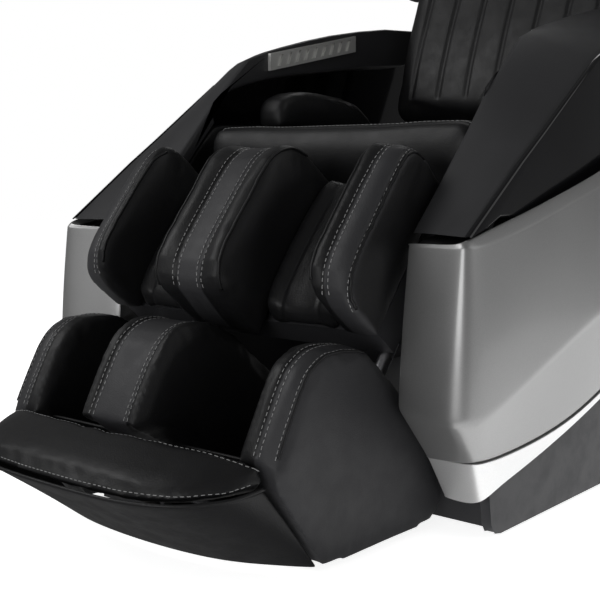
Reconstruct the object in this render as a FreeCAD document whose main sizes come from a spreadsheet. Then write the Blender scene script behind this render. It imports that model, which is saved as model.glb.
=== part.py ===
"""A reclining massage chair with a lifting calf and foot massager.

Millimetres. The chair faces -Y, +Z is up, +X is the sitter's left. Everything is laid out from the
front of the arms (y = 0) and the floor (z = 0), and each sub-part's Placement then moves it back by
frame_shift, so that the origin is under the middle of the whole chair.

The base carries side panels, skirts, feet and wheels. The cradle (seat and arms) tilts on the base,
the backrest reclines on the cradle, the calf unit lifts on the cradle and the foot unit slides out of
the calf unit. A massage carriage runs along the backrest, and two screw actuators drive the backrest and the calf unit.
"""
import FreeCAD, Part
import Sketcher
import math
import os
from FreeCAD import Placement, Rotation, Vector

doc = FreeCAD.newDocument("massage_chair")
sheet = doc.addObject("Spreadsheet::Sheet", "Sizes")


# ---------------------------------------------------------------- driving dimensions
class Size:
    """A length that keeps its number together with the sheet expression that gives it."""

    def __init__(self, value, text):
        self.value = float(value)
        self.text = text

    def __add__(self, other):
        return Size(self.value + number(other), f"({self.text} + {words(other)})")

    def __sub__(self, other):
        return Size(self.value - number(other), f"({self.text} - {words(other)})")

    def __rsub__(self, other):
        return Size(number(other) - self.value, f"({words(other)} - {self.text})")

    def __mul__(self, factor):
        return Size(self.value * number(factor), f"({self.text} * {words(factor)})")

    def __neg__(self):
        return Size(-self.value, f"(0 - {self.text})")

    __radd__ = __add__
    __rmul__ = __mul__


def number(length):
    return length.value if isinstance(length, Size) else float(length)


def words(length):
    return length.text if isinstance(length, Size) else repr(float(length))


def dimension(alias, value, note):
    """One row of the sheet: what it is, its number and the alias that other objects read."""
    row = dimension.row = getattr(dimension, "row", 0) + 1
    sheet.set(f"A{row}", note)
    sheet.set(f"B{row}", str(value))
    sheet.setAlias(f"B{row}", alias)
    return Size(value, f"Sizes.{alias}")


frame_shift = dimension("frame_shift", -441.726, "moves the layout so that the origin is mid-chair")

# base and side panels
panel_inner = dimension("panel_inner", 255, "inner edge of a side panel's front face, from the middle")
panel_corner = dimension("panel_corner", 350, "where the front face turns the corner")
panel_outer = dimension("panel_outer", 390, "outer face of a side panel")
panel_wall = dimension("panel_wall", 6, "wall of a side panel")
rail_mid = dimension("rail_mid", 251, "middle of a base rail, from the middle of the chair")
rail_wide = dimension("rail_wide", 30, "width of a base rail")
rail_low = dimension("rail_low", 25, "underside of the base rails")
rail_top = dimension("rail_top", 75, "top of the base rails")
rail_front = dimension("rail_front", 206, "front end of the base rails")
rail_back = dimension("rail_back", 960, "rear end of the base rails")
foot_round = dimension("foot_round", 30, "radius of a rubber foot")
skirt_inner = dimension("skirt_inner", 300, "inner face of a base skirt")
skirt_outer = dimension("skirt_outer", 315, "outer face of a base skirt")

# hinges
tilt_y = dimension("tilt_y", 600, "cradle tilt axis, along the chair")
tilt_z = dimension("tilt_z", 240, "cradle tilt axis, height")
back_y = dimension("back_y", 760, "recline axis, along the chair")
back_z = dimension("back_z", 470, "recline axis, height")
back_lean = dimension("back_lean", 20, "lean of the backrest from upright, degrees")
leg_y = dimension("leg_y", 189, "calf unit hinge axis, along the chair")
leg_z = dimension("leg_z", 418, "calf unit hinge axis, height")
leg_lean = dimension("leg_lean", 39, "lean of the calf unit from upright, degrees")
pin_round = dimension("pin_round", 12, "radius of the main hinge pins")
pin_play = dimension("pin_play", 0.05, "running clearance round a pin")

# cradle
plate_inner = dimension("plate_inner", 238, "inner face of a seat side plate")
plate_outer = dimension("plate_outer", 244, "outer face of a seat side plate")
arm_inner = dimension("arm_inner", 246, "inner face of an armrest")
arm_outer = dimension("arm_outer", 345, "outer side of an armrest, under its shell")
shell_thick = dimension("shell_thick", 6, "thickness of the gloss arm shell")

# calf and foot unit
calf_half = dimension("calf_half", 236, "half width of the calf unit")
well_inner = dimension("well_inner", 62, "inner wall of a calf well")
well_outer = dimension("well_outer", 178, "outer wall of a calf well")
calf_long = dimension("calf_long", 232, "length of the calf unit along its slope")
foot_half = dimension("foot_half", 238, "half width of the foot unit")
foot_inner = dimension("foot_inner", 52, "inner wall of a foot well")
foot_outer = dimension("foot_outer", 179, "outer wall of a foot well")
foot_floor = dimension("foot_floor", 11, "height of the foot unit above the floor")
toe_reach = dimension("toe_reach", 265, "how far the toe pad stands out in front of the arms")
tube_round = dimension("tube_round", 13, "outer radius of an extension tube")
rod_round = dimension("rod_round", 9, "radius of an extension rod")
tube_mid = dimension("tube_mid", 208, "middle of an extension tube")

# backrest
back_half = dimension("back_half", 222, "half width of the backrest between the arms")
back_long = dimension("back_long", 770, "length of the backrest above its hinge")
pad_thick = dimension("pad_thick", 105, "thickness of the back pad")
channel_half = dimension("channel_half", 115, "half width of the massage channel")
channel_deep = dimension("channel_deep", 78, "depth of the massage channel")
wing_outer = dimension("wing_outer", 315, "outer face of a shoulder wing")
roller_round = dimension("roller_round", 34, "radius of a massage roller")
doc.recompute()


# ---------------------------------------------------------------- ways of making a piece
def bind(thing, path, length):
    """Sets a property to a length, bound to the sheet where the length comes from it."""
    if isinstance(length, Size):
        thing.setExpression(path, length.text)
    elif path.endswith("Base.z"):
        thing.AttachmentOffset = Placement(Vector(0, 0, length), Rotation())
    else:
        setattr(thing, path, length)


def place(thing, y=0, z=0, lean=None):
    """Moves a sub-part from the layout to the row frame, leaning back by a number of degrees."""
    if lean is not None:
        thing.Placement = Placement(Vector(), Rotation(Vector(1, 0, 0), -number(lean)))
        thing.setExpression("Placement.Rotation.Angle", words(-lean))
    thing.setExpression("Placement.Base.y", words(frame_shift + y))
    thing.setExpression("Placement.Base.z", words(z))
    return thing


def draw(body, role, outline, offset):
    """A closed sketch of straight edges whose corners are bound to the sheet."""
    sketch = body.newObject("Sketcher::SketchObject", body.Label + "_sketch")
    plane = next(f for f in body.Origin.OriginFeatures if f.Role == role)
    sketch.AttachmentSupport = (plane, "")
    sketch.MapMode = "FlatFace"
    corners = [Vector(number(a), number(b), 0) for a, b in outline]
    count = len(corners)
    lines = [Part.LineSegment(corners[i], corners[(i + 1) % count]) for i in range(count)]
    sketch.addGeometry(lines, False)
    joints = [Sketcher.Constraint("Coincident", i, 2, (i + 1) % count, 1) for i in range(count)]
    sketch.addConstraint(joints)
    for i, corner in enumerate(outline):
        for kind, length in zip(("DistanceX", "DistanceY"), corner):
            index = sketch.addConstraint(Sketcher.Constraint(kind, -1, 1, i, 1, number(length)))
            if isinstance(length, Size):
                sketch.setExpression(f"Constraints[{index}]", length.text)
    bind(sketch, "AttachmentOffset.Base.z", offset)
    return sketch


def new_body(label):
    body = doc.addObject("PartDesign::Body", label)
    body.Label = label
    return body


def prism(label, outline, start, end, role="YZ_Plane"):
    """An outline in a body's own plane, padded from start to end along that plane's normal."""
    body = new_body(label)
    pad = body.newObject("PartDesign::Pad", label + "_pad")
    pad.Profile = draw(body, role, outline, start)
    bind(pad, "Length", end - start)
    return body


def cut(body, outline, start, end, role="YZ_Plane"):
    """Removes an outline from a body, from start to end along the plane's normal."""
    doc.recompute()
    before = body.Shape.Volume
    pocket = body.newObject("PartDesign::Pocket", body.Label + "_pocket")
    pocket.Profile = draw(body, role, outline, start)
    pocket.Reversed = True
    bind(pocket, "Length", end - start)
    doc.recompute()
    if not body.Shape.Volume < before - 1:
        raise RuntimeError(f"a cut in {body.Label} removed nothing")
    return body


def hollow(body, wall, is_open):
    """Leaves a wall of that thickness, open through the faces that is_open picks."""
    doc.recompute()
    solid = body.Tip
    names = [f"Face{i + 1}" for i, face in enumerate(solid.Shape.Faces) if is_open(face)]
    thickness = body.newObject("PartDesign::Thickness", body.Label + "_wall")
    thickness.Base = (solid, names)
    thickness.Reversed = True
    bind(thickness, "Value", wall)
    return body


def round_edges(body, radius, is_round):
    """Fillets the edges that is_round picks."""
    doc.recompute()
    solid = body.Tip
    names = [f"Edge{i + 1}" for i, edge in enumerate(solid.Shape.Edges) if is_round(edge)]
    fillet = body.newObject("PartDesign::Fillet", body.Label + "_round")
    fillet.Base = (solid, names)
    bind(fillet, "Radius", radius)
    return body


def loft_across(label, near, far, start, end, role="YZ_Plane"):
    """A body that is a ruled loft from one outline to another with as many corners."""
    return loft_in(new_body(label), "AdditiveLoft", near, far, start, end, role)


def loft_in(body, kind, near, far, start, end, role):
    """Adds or takes away a ruled loft between two outlines."""
    loft = body.newObject("PartDesign::" + kind, body.Label + "_loft")
    loft.Profile = draw(body, role, near, start)
    loft.Sections = [(draw(body, role, far, end), [""])]
    loft.Ruled = True
    return body


def along_x(edge):
    line = edge.Vertexes[-1].Point - edge.Vertexes[0].Point
    return line.Length > 1 and abs(line.x) > 0.999 * line.Length


def normal_of(face):
    u_low, u_high, v_low, v_high = face.ParameterRange
    return face.normalAt((u_low + u_high) / 2, (v_low + v_high) / 2)


def box(name, x, y, z):
    """A Part box between two values along each axis."""
    block = doc.addObject("Part::Box", name)
    for path, (low, high) in (("Length", x), ("Width", y), ("Height", z)):
        bind(block, path, high - low)
    for axis, (low, high) in zip("xyz", (x, y, z)):
        block.setExpression("Placement.Base." + axis, words(low))
    return block


def rod(name, radius, x, y, z):
    """A cylinder along X."""
    bar = doc.addObject("Part::Cylinder", name)
    bind(bar, "Radius", radius)
    bind(bar, "Height", x[1] - x[0])
    bar.Placement = Placement(Vector(), Rotation(Vector(0, 1, 0), 90))
    for axis, length in zip("xyz", (x[0], y, z)):
        bar.setExpression("Placement.Base." + axis, words(length))
    return bar


def post(name, radius, x, y, z):
    """A cylinder along Z."""
    bar = doc.addObject("Part::Cylinder", name)
    bind(bar, "Radius", radius)
    bind(bar, "Height", z[1] - z[0])
    for axis, length in zip("xyz", (x, y, z[0])):
        bar.setExpression("Placement.Base." + axis, words(length))
    return bar


def fuse(label, *pieces):
    joined = doc.addObject("Part::MultiFuse", label)
    joined.Label = label
    joined.Shapes = list(pieces)
    return joined


def less(label, whole, *holes):
    result = doc.addObject("Part::Cut", label)
    result.Label = label
    result.Base = whole
    result.Tool = holes[0] if len(holes) == 1 else fuse(label + "_holes", *holes)
    return result


def group(label, *pieces):
    """Several separate solids that share one node."""
    together = doc.addObject("Part::Compound", label)
    together.Label = label
    together.Links = list(pieces)
    return together


parts = []


def keep(thing, *layout, **lean):
    parts.append(place(thing, *layout, **lean))
    return thing


def both_sides(side, near, far):
    """A span from near to far on the +X side, or its mirror image on the -X side."""
    return (near, far) if side == "left" else (-far, -near)


SIDES = ("left", "right")

# ---------------------------------------------------------------- base: frame, pan, feet and wheels
rails = []
for side in SIDES:
    span = both_sides(side, rail_mid - rail_wide * 0.5, rail_mid + rail_wide * 0.5)
    rails.append(box(f"rail_{side}", span, (rail_front, rail_back), (rail_low, rail_top)))
cross_half = rail_mid - rail_wide * 0.5
for where, front in (("front", rail_front + 40), ("rear", rail_back - 120)):
    rails.append(box(f"cross_{where}", (-cross_half, cross_half), (front, front + 50),
                     (rail_low, rail_top)))
keep(fuse("base_frame", *rails))

pan_top = rail_top + 3
floor_pan = box("pan_floor", (-skirt_inner, skirt_inner), (rail_front - 3, rail_back + 40),
                (rail_top, pan_top))
flange = box("pan_flange", (-skirt_inner, skirt_inner), (rail_front - 6, rail_front - 3), (8, pan_top + 30))
keep(fuse("base_pan", floor_pan, flange))

feet = []
for side in SIDES:
    middle = rail_mid if side == "left" else -rail_mid
    for where, y in (("front", rail_front + 60), ("rear", rail_back - 60)):
        feet.append(post(f"foot_{side}_{where}", foot_round * 0.5, middle, y, (0, rail_low)))
keep(group("floor_feet", *feet))

WHEEL_Y, WHEEL_Z, WHEEL_RADIUS, AXLE_RADIUS = 995, 34, 32, 8
axles = []
for side in SIDES:
    ear = box(f"ear_{side}", both_sides(side, rail_mid - 15, rail_mid + 15), (rail_back, rail_back + 55),
              (rail_low, rail_top - 15))
    stub_span = both_sides(side, rail_mid - 45, rail_mid - 10)
    stub = rod(f"stub_{side}", AXLE_RADIUS, stub_span, WHEEL_Y, WHEEL_Z)
    axles.append(fuse(f"axle_{side}", ear, stub))
    tyre = rod(f"tyre_{side}", WHEEL_RADIUS, both_sides(side, rail_mid - 42, rail_mid - 17), WHEEL_Y,
               WHEEL_Z)
    bore = rod(f"tyre_bore_{side}", AXLE_RADIUS + pin_play, both_sides(side, rail_mid - 50, rail_mid - 10),
               WHEEL_Y, WHEEL_Z)
    keep(less(f"wheel_{side}", tyre, bore))
keep(group("wheel_axles", *axles))

# tilt brackets stand on the rails, just outside the seat's side plates
BRACKET_INNER, BRACKET_OUTER = 246, 254
brackets = []
for side in SIDES:
    span = both_sides(side, BRACKET_INNER, BRACKET_OUTER)
    bracket = prism(
        f"bracket_{side}",
        [(tilt_y - 60, pan_top), (tilt_y + 60, pan_top), (tilt_y + 24, tilt_z + 26),
         (tilt_y - 24, tilt_z + 26)],
        span[0], span[1])
    hole = rod(f"bracket_hole_{side}", pin_round + pin_play, (span[0] - 2, span[1] + 2), tilt_y, tilt_z)
    brackets.append(less(f"tilt_bracket_{side}", bracket, hole))
keep(group("tilt_brackets", *brackets))

# skirts close the base under the side panels; three lugs on each carry the panel
for side in SIDES:
    skirt = prism(
        f"skirt_plate_{side}",
        [(178, 22), (200, 6), (985, 6), (1020, 40), (1010, 425), (850, 395), (600, 292), (393, 215),
         (225, 135), (172, 60)],
        *both_sides(side, skirt_inner, skirt_outer))
    lugs = []
    for n, (y, z) in enumerate(((300, 134), (560, 262), (880, 385))):
        span = both_sides(side, skirt_outer, panel_outer - panel_wall)
        lugs.append(box(f"lug_{side}_{n}", span, (y, y + 40), (z, z + 10)))
    keep(fuse(f"base_skirt_{side}", skirt, *lugs))

# electrics: supply with its inlet panel and rocker switch, and the air pump for the airbags
supply = box("supply_case", (-170, -50), (880, 1008), (pan_top, pan_top + 70))
inlet = box("inlet_panel", (-170, -50), (1008, 1020), (pan_top, pan_top + 70))
window = box("inlet_window", (-97, -73), (1004, 1026), (pan_top + 18, pan_top + 54))
socket = box("inlet_socket", (-152, -124), (1006, 1026), (pan_top + 24, pan_top + 48))
rocker_pin = rod("rocker_pin", 2, (-98, -72), 1016, pan_top + 36)
keep(fuse("power_unit", less("supply_hollow", fuse("supply_body", supply, inlet), window, socket),
          rocker_pin))
rocker = box("rocker", (-95, -75), (1010, 1022), (pan_top + 21, pan_top + 51))
keep(less("power_switch", rocker, rod("rocker_bore", 2 + pin_play, (-98, -72), 1016, pan_top + 36)))
keep(group("air_pump", box("pump_case", (40, 190), (860, 980), (pan_top, pan_top + 80))))


# ---------------------------------------------------------------- side panels
def plan_corner(side):
    """The wedge that the outer front corner loses, seen from above."""
    sign = 1 if side == "left" else -1
    return [(panel_corner * sign, 30), (panel_outer * sign, 300), ((panel_outer + 20) * sign, 300),
            ((panel_outer + 20) * sign, 30)]


PANEL_OUTLINE = [
    (62, 180), (52, 384), (113, 401), (232, 431), (369, 471), (600, 545), (850, 620), (960, 640),
    (1015, 430), (850, 352), (600, 250), (400, 178), (280, 140), (190, 124), (106, 120)]
TRIM_OUTLINE = [
    (107, 119), (190, 123), (280, 139), (400, 177), (600, 249), (600, 243), (393, 159), (305, 133),
    (225, 102), (190, 86), (158, 50), (144, 66)]


def inward_only(face):
    """Open faces of a panel: its inner side, top, back and underside, but not the raked front."""
    normal = normal_of(face)
    inner = abs(normal.x) > 0.99 and abs(face.CenterOfMass.x) < panel_inner.value + 1
    front = normal.y < -0.5
    return inner or not (front or abs(normal.x) > 0.3)


for side in SIDES:
    span = both_sides(side, panel_inner, panel_outer)
    for label, outline in (("side_panel", PANEL_OUTLINE), ("side_trim", TRIM_OUTLINE)):
        shell = prism(f"{label}_{side}", outline, *span)
        cut(shell, plan_corner(side), 0, 700, role="XY_Plane")
        hollow(shell, panel_wall, inward_only)
        keep(shell)

# ---------------------------------------------------------------- cradle: seat
for side in SIDES:
    span = both_sides(side, plate_inner, plate_outer)
    plate = prism(
        f"plate_{side}",
        [(leg_y - 22, leg_z - 18), (leg_y - 22, leg_z + 18), (240, 462), (735, 500), (back_y + 25, 500),
         (back_y + 25, back_z - 30), (tilt_y + 40, tilt_z - 25), (tilt_y - 40, tilt_z - 25), (400, 372),
         (215, 388)],
        *span)
    holes = []
    for name, y, z in (("leg", leg_y, leg_z), ("back", back_y, back_z)):
        holes.append(rod(f"{name}_hole_{side}", pin_round + pin_play, (span[0] - 2, span[1] + 2), y, z))
    drilled = less(f"drilled_plate_{side}", plate, *holes)
    pin_span = both_sides(side, plate_outer, BRACKET_OUTER)
    pin = rod(f"tilt_pin_{side}", pin_round, pin_span, tilt_y, tilt_z)
    ribs = [box(f"arm_rib_{side}_{y}", both_sides(side, plate_outer, arm_inner + 14), (y, y + 40),
                (440, 448))
            for y in (400, 640)]
    keep(fuse(f"seat_plate_{side}", drilled, pin, *ribs))

PAN_OUTLINE = [(310, 372), (590, 372), (590, 380), (310, 380)]
LEG_DRIVE, BACK_DRIVE = (440, 330), (420, 256)
pan = [prism("pan_plate", PAN_OUTLINE, -plate_inner, plate_inner)]
for name, (y, z), x in (("leg", LEG_DRIVE, -84), ("back", BACK_DRIVE, 84)):
    pan.append(box(f"{name}_drive_lug", (x + 14, x + 22), (y - 14, y + 14), (z - 12, 372)))
    pan.append(rod(f"{name}_drive_pin", 6, (x - 12, x + 14), y, z))
keep(fuse("seat_pan", *pan))
keep(round_edges(
    prism("seat_cushion",
          [(232, 440), (232, 530), (500, 522), (650, 512), (650, 430), (594, 381), (310, 381)],
          -plate_inner + 1, plate_inner - 1),
    12, lambda edge: along_x(edge) and edge.CenterOfMass.z > 500))

hips = []
for side in SIDES:
    bolster = prism(f"hip_pad_{side}", [(360, 526), (350, 570), (420, 592), (560, 580), (600, 525)],
                    *both_sides(side, 176, plate_inner - 2))
    hips.append(cut(bolster, [(340, 500), (610, 500), (610, 515), (500, 522.3), (340, 527.1)],
                    *both_sides(side, 150, plate_inner + 2)))
keep(group("hip_pads", *hips))

# ---------------------------------------------------------------- cradle: armrests
CAP_TOP_INNER = [(90, 389), (200, 505), (290, 600), (340, 645), (430, 672), (560, 702), (720, 728),
                 (900, 735)]
CAP_TOP_OUTER = [(54, 389), (226, 511), (359, 604), (416, 633), (470, 650), (590, 680), (730, 705),
                 (900, 712)]
CAP_UNDERSIDE = [(900, 682), (771, 660), (444, 622), (343, 604), (278, 580), (258, 556), (262, 531),
                 (134, 389)]
PAD_OUTLINE = [
    (74, 285), (74, 385), (138, 386), (268, 528), (290, 535), (900, 541), (900, 500), (600, 420),
    (300, 350), (200, 285)]
SHELL_OUTLINE = [
    (54, 391), (226, 513), (359, 606), (416, 635), (470, 652), (590, 682), (730, 707), (900, 714),
    (975, 640), (985, 570), (880, 540), (600, 460), (400, 412), (170, 409), (120, 409)]
FINS, FIN_PITCH, FIN_GAP = 9, 23, 11
VENT_FRONT, VENT_LONG, VENT_LOW, VENT_HIGH = 386, 232, 627, 655
VENT_RISE = 0.21


def vent_corner(along, height):
    """A point on the vent, which climbs with the top of the arm."""
    return (VENT_FRONT + along, height + VENT_RISE * along)


for side in SIDES:
    spans = both_sides(side, arm_inner, arm_outer)
    profiles = (CAP_TOP_INNER + CAP_UNDERSIDE, CAP_TOP_OUTER + CAP_UNDERSIDE)
    if side == "right":
        profiles = profiles[::-1]
    keep(loft_across(f"arm_cap_{side}", profiles[0], profiles[1], *spans))
    keep(prism(f"arm_pad_{side}", PAD_OUTLINE, *both_sides(side, arm_inner + 14, arm_outer - 1)))
    keep(prism(f"arm_shell_{side}", SHELL_OUTLINE, *both_sides(side, arm_outer, arm_outer + shell_thick)))

    vent = prism(f"vent_grille_{side}",
                 [vent_corner(0, VENT_LOW), vent_corner(VENT_LONG, VENT_LOW),
                  vent_corner(VENT_LONG, VENT_HIGH), vent_corner(0, VENT_HIGH)],
                 *both_sides(side, arm_inner - 6, arm_inner))
    for n in range(FINS):
        start = 14 + n * FIN_PITCH
        cut(vent, [vent_corner(start, VENT_LOW + 5), vent_corner(start + FIN_GAP, VENT_LOW + 5),
                   vent_corner(start + FIN_GAP + 8, VENT_HIGH - 5), vent_corner(start + 8, VENT_HIGH - 5)],
            *both_sides(side, arm_inner - 8, arm_inner - 2))
    keep(vent)

# quick keys on the inner face of the sitter's left arm
KEY_MIDDLES = (690, 735)
panel = prism("control_panel", [(660, 672), (765, 676), (765, 708), (660, 704)], arm_inner - 6, arm_inner)
for n, middle in enumerate(KEY_MIDDLES):
    cut(panel, [(middle - 16, 680), (middle + 16, 680), (middle + 16, 700), (middle - 16, 700)],
        arm_inner - 10, arm_inner + 2)
keep(panel)
for name, middle in zip(("power_key", "pause_key"), KEY_MIDDLES):
    span = (middle - 15, middle + 15)
    keep(group(name, box(f"{name}_cap", (arm_inner - 8.5, arm_inner - 2.5), span, (681, 699))))


# ---------------------------------------------------------------- backrest, drawn upright in its own frame
def keep_back(thing):
    return keep(thing, back_y, back_z, lean=back_lean)


frame_bits = []
for side in SIDES:
    span = both_sides(side, back_half - 18, back_half)
    frame_bits.append(prism(f"back_rail_{side}", [(2, -30), (2, 700), (52, 700), (52, 60), (30, -30)],
                            *span))
    pin = rod(f"back_pin_{side}", pin_round, both_sides(side, back_half, plate_outer), 0, 0)
    boss = box(f"back_boss_{side}", span, (-22, 2), (-22, 22))
    frame_bits[-1] = fuse(f"back_side_{side}", frame_bits[-1], boss, pin)
    track = both_sides(side, channel_half + 3, channel_half + 15)
    frame_bits.append(box(f"track_{side}", track, (8, 44), (60, 680)))
inner = back_half - 18
for name, low in (("low", 12), ("high", 682)):
    bar = (low, low + 18 + 26 * (name == "low"))
    frame_bits.append(box(f"back_cross_{name}", (-inner, inner), (8, 44), bar))
LEVER = (8, -115)
lever = prism("back_lever", [(8, 14), (40, 14), (24, -130), (-8, -130)], 98, 106)
lever_pin = rod("back_lever_pin", 6, (74, 98), *LEVER)
keep_back(fuse("back_frame", *frame_bits, lever, lever_pin))

pad = prism("back_pad", [(-pad_thick, 58), (-pad_thick, back_long - 30), (-pad_thick + 30, back_long),
                         (0, back_long), (0, 58)], -back_half, back_half)
keep_back(cut(pad, [(-channel_deep, 80), (-channel_deep, 690), (5, 690), (5, 80)], -channel_half,
              channel_half))

cover = prism("back_shell", [(60, -60), (60, back_long + 18), (110, back_long + 18), (195, 600), (225, 300),
                             (190, 60), (120, -60)],
              -back_half, back_half)
keep_back(hollow(cover, 5, lambda face: normal_of(face).y < -0.99))

for side in SIDES:
    wing = prism(f"shoulder_wing_{side}",
                 [(-210, 470), (-150, 350), (30, 350), (70, 420), (70, back_long - 20),
                  (20, back_long + 10), (-110, back_long + 10), (-190, 700)],
                 *both_sides(side, back_half + 3, wing_outer))
    keep_back(round_edges(wing, 16, along_x))

keep_back(round_edges(
    prism("head_pillow", [(-pad_thick - 66, 560), (-pad_thick - 66, 720), (-pad_thick - 1, 735),
                          (-pad_thick - 1, 545)], -150, 150),
    14, along_x))

# carriage between the tracks, with two roller shafts
CARRIAGE_LOW, CARRIAGE_HIGH, ROLLER_Y = 180, 330, -38
plates = [box("carriage_plate", (-channel_half - 2.6, channel_half + 2.6), (10, 22),
              (CARRIAGE_LOW, CARRIAGE_HIGH)),
          box("carriage_motor", (-60, 60), (22, 52), (CARRIAGE_LOW + 30, CARRIAGE_HIGH - 30))]
shafts = (("lower", CARRIAGE_LOW + 36), ("upper", CARRIAGE_HIGH - 36))
for where, z in shafts:
    for side in SIDES:
        yoke = box(f"yoke_{where}_{side}", both_sides(side, 84, 92), (-50, 10), (z - 12, z + 12))
        plates.append(yoke)
    plates.append(rod(f"shaft_{where}", 8, (-92, 92), ROLLER_Y, z))
keep_back(fuse("massage_carriage", *plates))
for where, z in shafts:
    rollers = []
    for side in SIDES:
        wheel = rod(f"roller_disc_{where}_{side}", roller_round, both_sides(side, 48, 74), ROLLER_Y, z)
        bore = rod(f"roller_bore_{where}_{side}", 8 + pin_play, both_sides(side, 44, 78), ROLLER_Y, z)
        rollers.append(less(f"roller_{where}_{side}", wheel, bore))
    keep_back(group(f"massage_rollers_{where}", *rollers))


# ---------------------------------------------------------------- calf unit, drawn upright about its hinge
HINGE_BEHIND, HINGE_BELOW = 110, 20


def calf_point(behind, below):
    """A point by its distance behind the calf unit's face and below its top."""
    return (behind - HINGE_BEHIND, HINGE_BELOW - below)


def keep_calf(thing):
    return keep(thing, leg_y, leg_z, lean=leg_lean)


tray = prism("tray_plate", [calf_point(95, 4), calf_point(140, 4), calf_point(140, 222),
                            calf_point(95, 222)], -(calf_half - 8), calf_half - 8)
bits = [tray]
bores = []
TUBE_BEHIND, TUBE_SPAN, ROD_SPAN = 43, (-180, 16), (-290, 4)
for side in SIDES:
    bits.append(rod(f"leg_pin_{side}", pin_round, both_sides(side, calf_half - 8, plate_outer), 0, 0))
    middle = tube_mid if side == "left" else -tube_mid
    bits.append(post(f"tube_{side}", tube_round, middle, TUBE_BEHIND, TUBE_SPAN))
    bores.append(post(f"tube_bore_{side}", rod_round + pin_play, middle, TUBE_BEHIND, (-190, 8)))
CLEVIS = (55, -128)
bits.append(box("calf_clevis", (-104, -96), (30, CLEVIS[0] + 12), (CLEVIS[1] - 12, CLEVIS[1] + 12)))
bits.append(rod("calf_clevis_pin", 6, (-96, -74), *CLEVIS))
keep_calf(less("calf_tray", fuse("tray_body", *bits), *bores))

calf_end = calf_long
for side in SIDES:
    wall = prism(f"calf_wall_{side}",
                 [calf_point(10, 0), calf_point(-14, 22), calf_point(-14, 200), calf_point(16, calf_end),
                  calf_point(94, calf_end), calf_point(94, 0)],
                 *both_sides(side, well_outer, calf_half))
    keep_calf(wall)
keep_calf(prism("calf_divider",
                [calf_point(0, 0), calf_point(-36, 24), calf_point(-44, 60), calf_point(-44, 225),
                 calf_point(-20, 250), calf_point(94, 250), calf_point(94, 0)],
                -well_inner, well_inner))
wells = []
for side in SIDES:
    wells.append(prism(f"calf_well_pad_{side}",
                       [calf_point(66, 6), calf_point(58, 30), calf_point(58, 200), calf_point(70, 228),
                        calf_point(94, 228), calf_point(94, 6)],
                       *both_sides(side, well_inner + 1, well_outer - 1)))
keep_calf(group("calf_well_pads", *wells))

# ---------------------------------------------------------------- foot unit
WALL_OUTLINE = [(22, 254), (0, 264), (-56, 266), (-91, 248), (-116, 208), (-137, 169), (-148, 149),
                (-144, 124),
                (-57, foot_floor), (163, foot_floor), (190, 36), (150, 146)]
lean = math.radians(leg_lean.value)


def slanted_rod(name, radius, x, span):
    """A cylinder along the calf unit's slope, beside its extension tubes."""
    bar = doc.addObject("Part::Cylinder", name)
    bind(bar, "Radius", radius)
    bar.Height = span[1] - span[0]
    bar.Placement = Placement(
        Vector(number(x), leg_y.value + TUBE_BEHIND * math.cos(lean) + span[0] * math.sin(lean),
               leg_z.value - TUBE_BEHIND * math.sin(lean) + span[0] * math.cos(lean)),
        Rotation(Vector(1, 0, 0), -leg_lean.value))
    bar.setExpression("Placement.Base.x", words(x))
    return bar


# each side wall is bored for the end of its extension rod
rods = []
for side in SIDES:
    middle = tube_mid if side == "left" else -tube_mid
    wall = prism(f"foot_wall_body_{side}", WALL_OUTLINE, *both_sides(side, foot_outer, foot_half))
    keep(less(f"foot_wall_{side}", wall, slanted_rod(f"rod_bore_{side}", rod_round, middle, ROD_SPAN)))
    rods.append(slanted_rod(f"foot_rod_{side}", rod_round, middle, ROD_SPAN))
keep(group("foot_rods", *rods))
keep(prism("foot_divider",
           [(20, 238), (-14, 262), (-56, 282), (-94, 282), (-125, 264), (-147, 230), (-165, 195),
            (-178, 166), (-128, 140),
            (20, 34), (140, 34), (130, 148)],
           -foot_inner, foot_inner))

SHAFT_Y, SHAFT_Z, SHAFT_RADIUS, SOLE_RADIUS = -28, 39, 5, 15

# the housing is a bent shell: floor, heel wall and the sockets for the extension rods
housing = prism("housing_shell",
                [(-36, 11), (163, 11), (189, 36), (149, 146), (128, 166), (121, 158), (141, 141), (180, 38),
                 (159, 19), (-36, 19)],
                -foot_outer, foot_outer)
housing_bits = [housing, rod("sole_shaft", SHAFT_RADIUS, (-169, 169), SHAFT_Y, SHAFT_Z)]
for x in (-169, -63, 57, 163):
    housing_bits.append(box(f"shaft_ear_{x + 170}", (x, x + 6), (-36, SHAFT_Y + 8), (15, SHAFT_Z + 8)))
keep(fuse("foot_housing", *housing_bits))

soles = []
for side in SIDES:
    soles.append(prism(f"sole_plate_{side}", [(-128, 137), (-120, 146), (27, 41), (20, 31)],
                       *both_sides(side, foot_inner + 1, foot_outer - 1)))
keep(group("sole_plates", *soles))

# the sole rollers turn on one fixed shaft held by ears on the housing floor
for side in SIDES:
    tube = rod(f"sole_tube_{side}", SOLE_RADIUS, both_sides(side, 70, 162), SHAFT_Y, SHAFT_Z)
    bore = rod(f"sole_bore_{side}", SHAFT_RADIUS + pin_play, both_sides(side, 66, 166), SHAFT_Y, SHAFT_Z)
    keep(less(f"sole_roller_{side}", tube, bore))

# the apron is the curved shell under the toes, its front undercut towards the floor
APRON_LOW = [(-226, -60), (-211, -73), (-151, -109), (-69, -126), (0, -128)]
APRON_HIGH = [(-226, -140), (-206, -206), (-166, -245), (-104, -262), (0, -toe_reach)]


def mirrored(half):
    """A full outline from its half with x <= 0; the last corner is on the middle line."""
    return half + [(-x, y) for x, y in reversed(half[:-1])]


def inset(half, wall=5):
    """The inside of a half outline: drawn in by the wall, and running out through the open back."""
    back = (half[0][0] + wall, half[0][1] + 3 * wall)
    return [back] + [(min(x + wall, 0), y + wall) for x, y in half[1:]]


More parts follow.
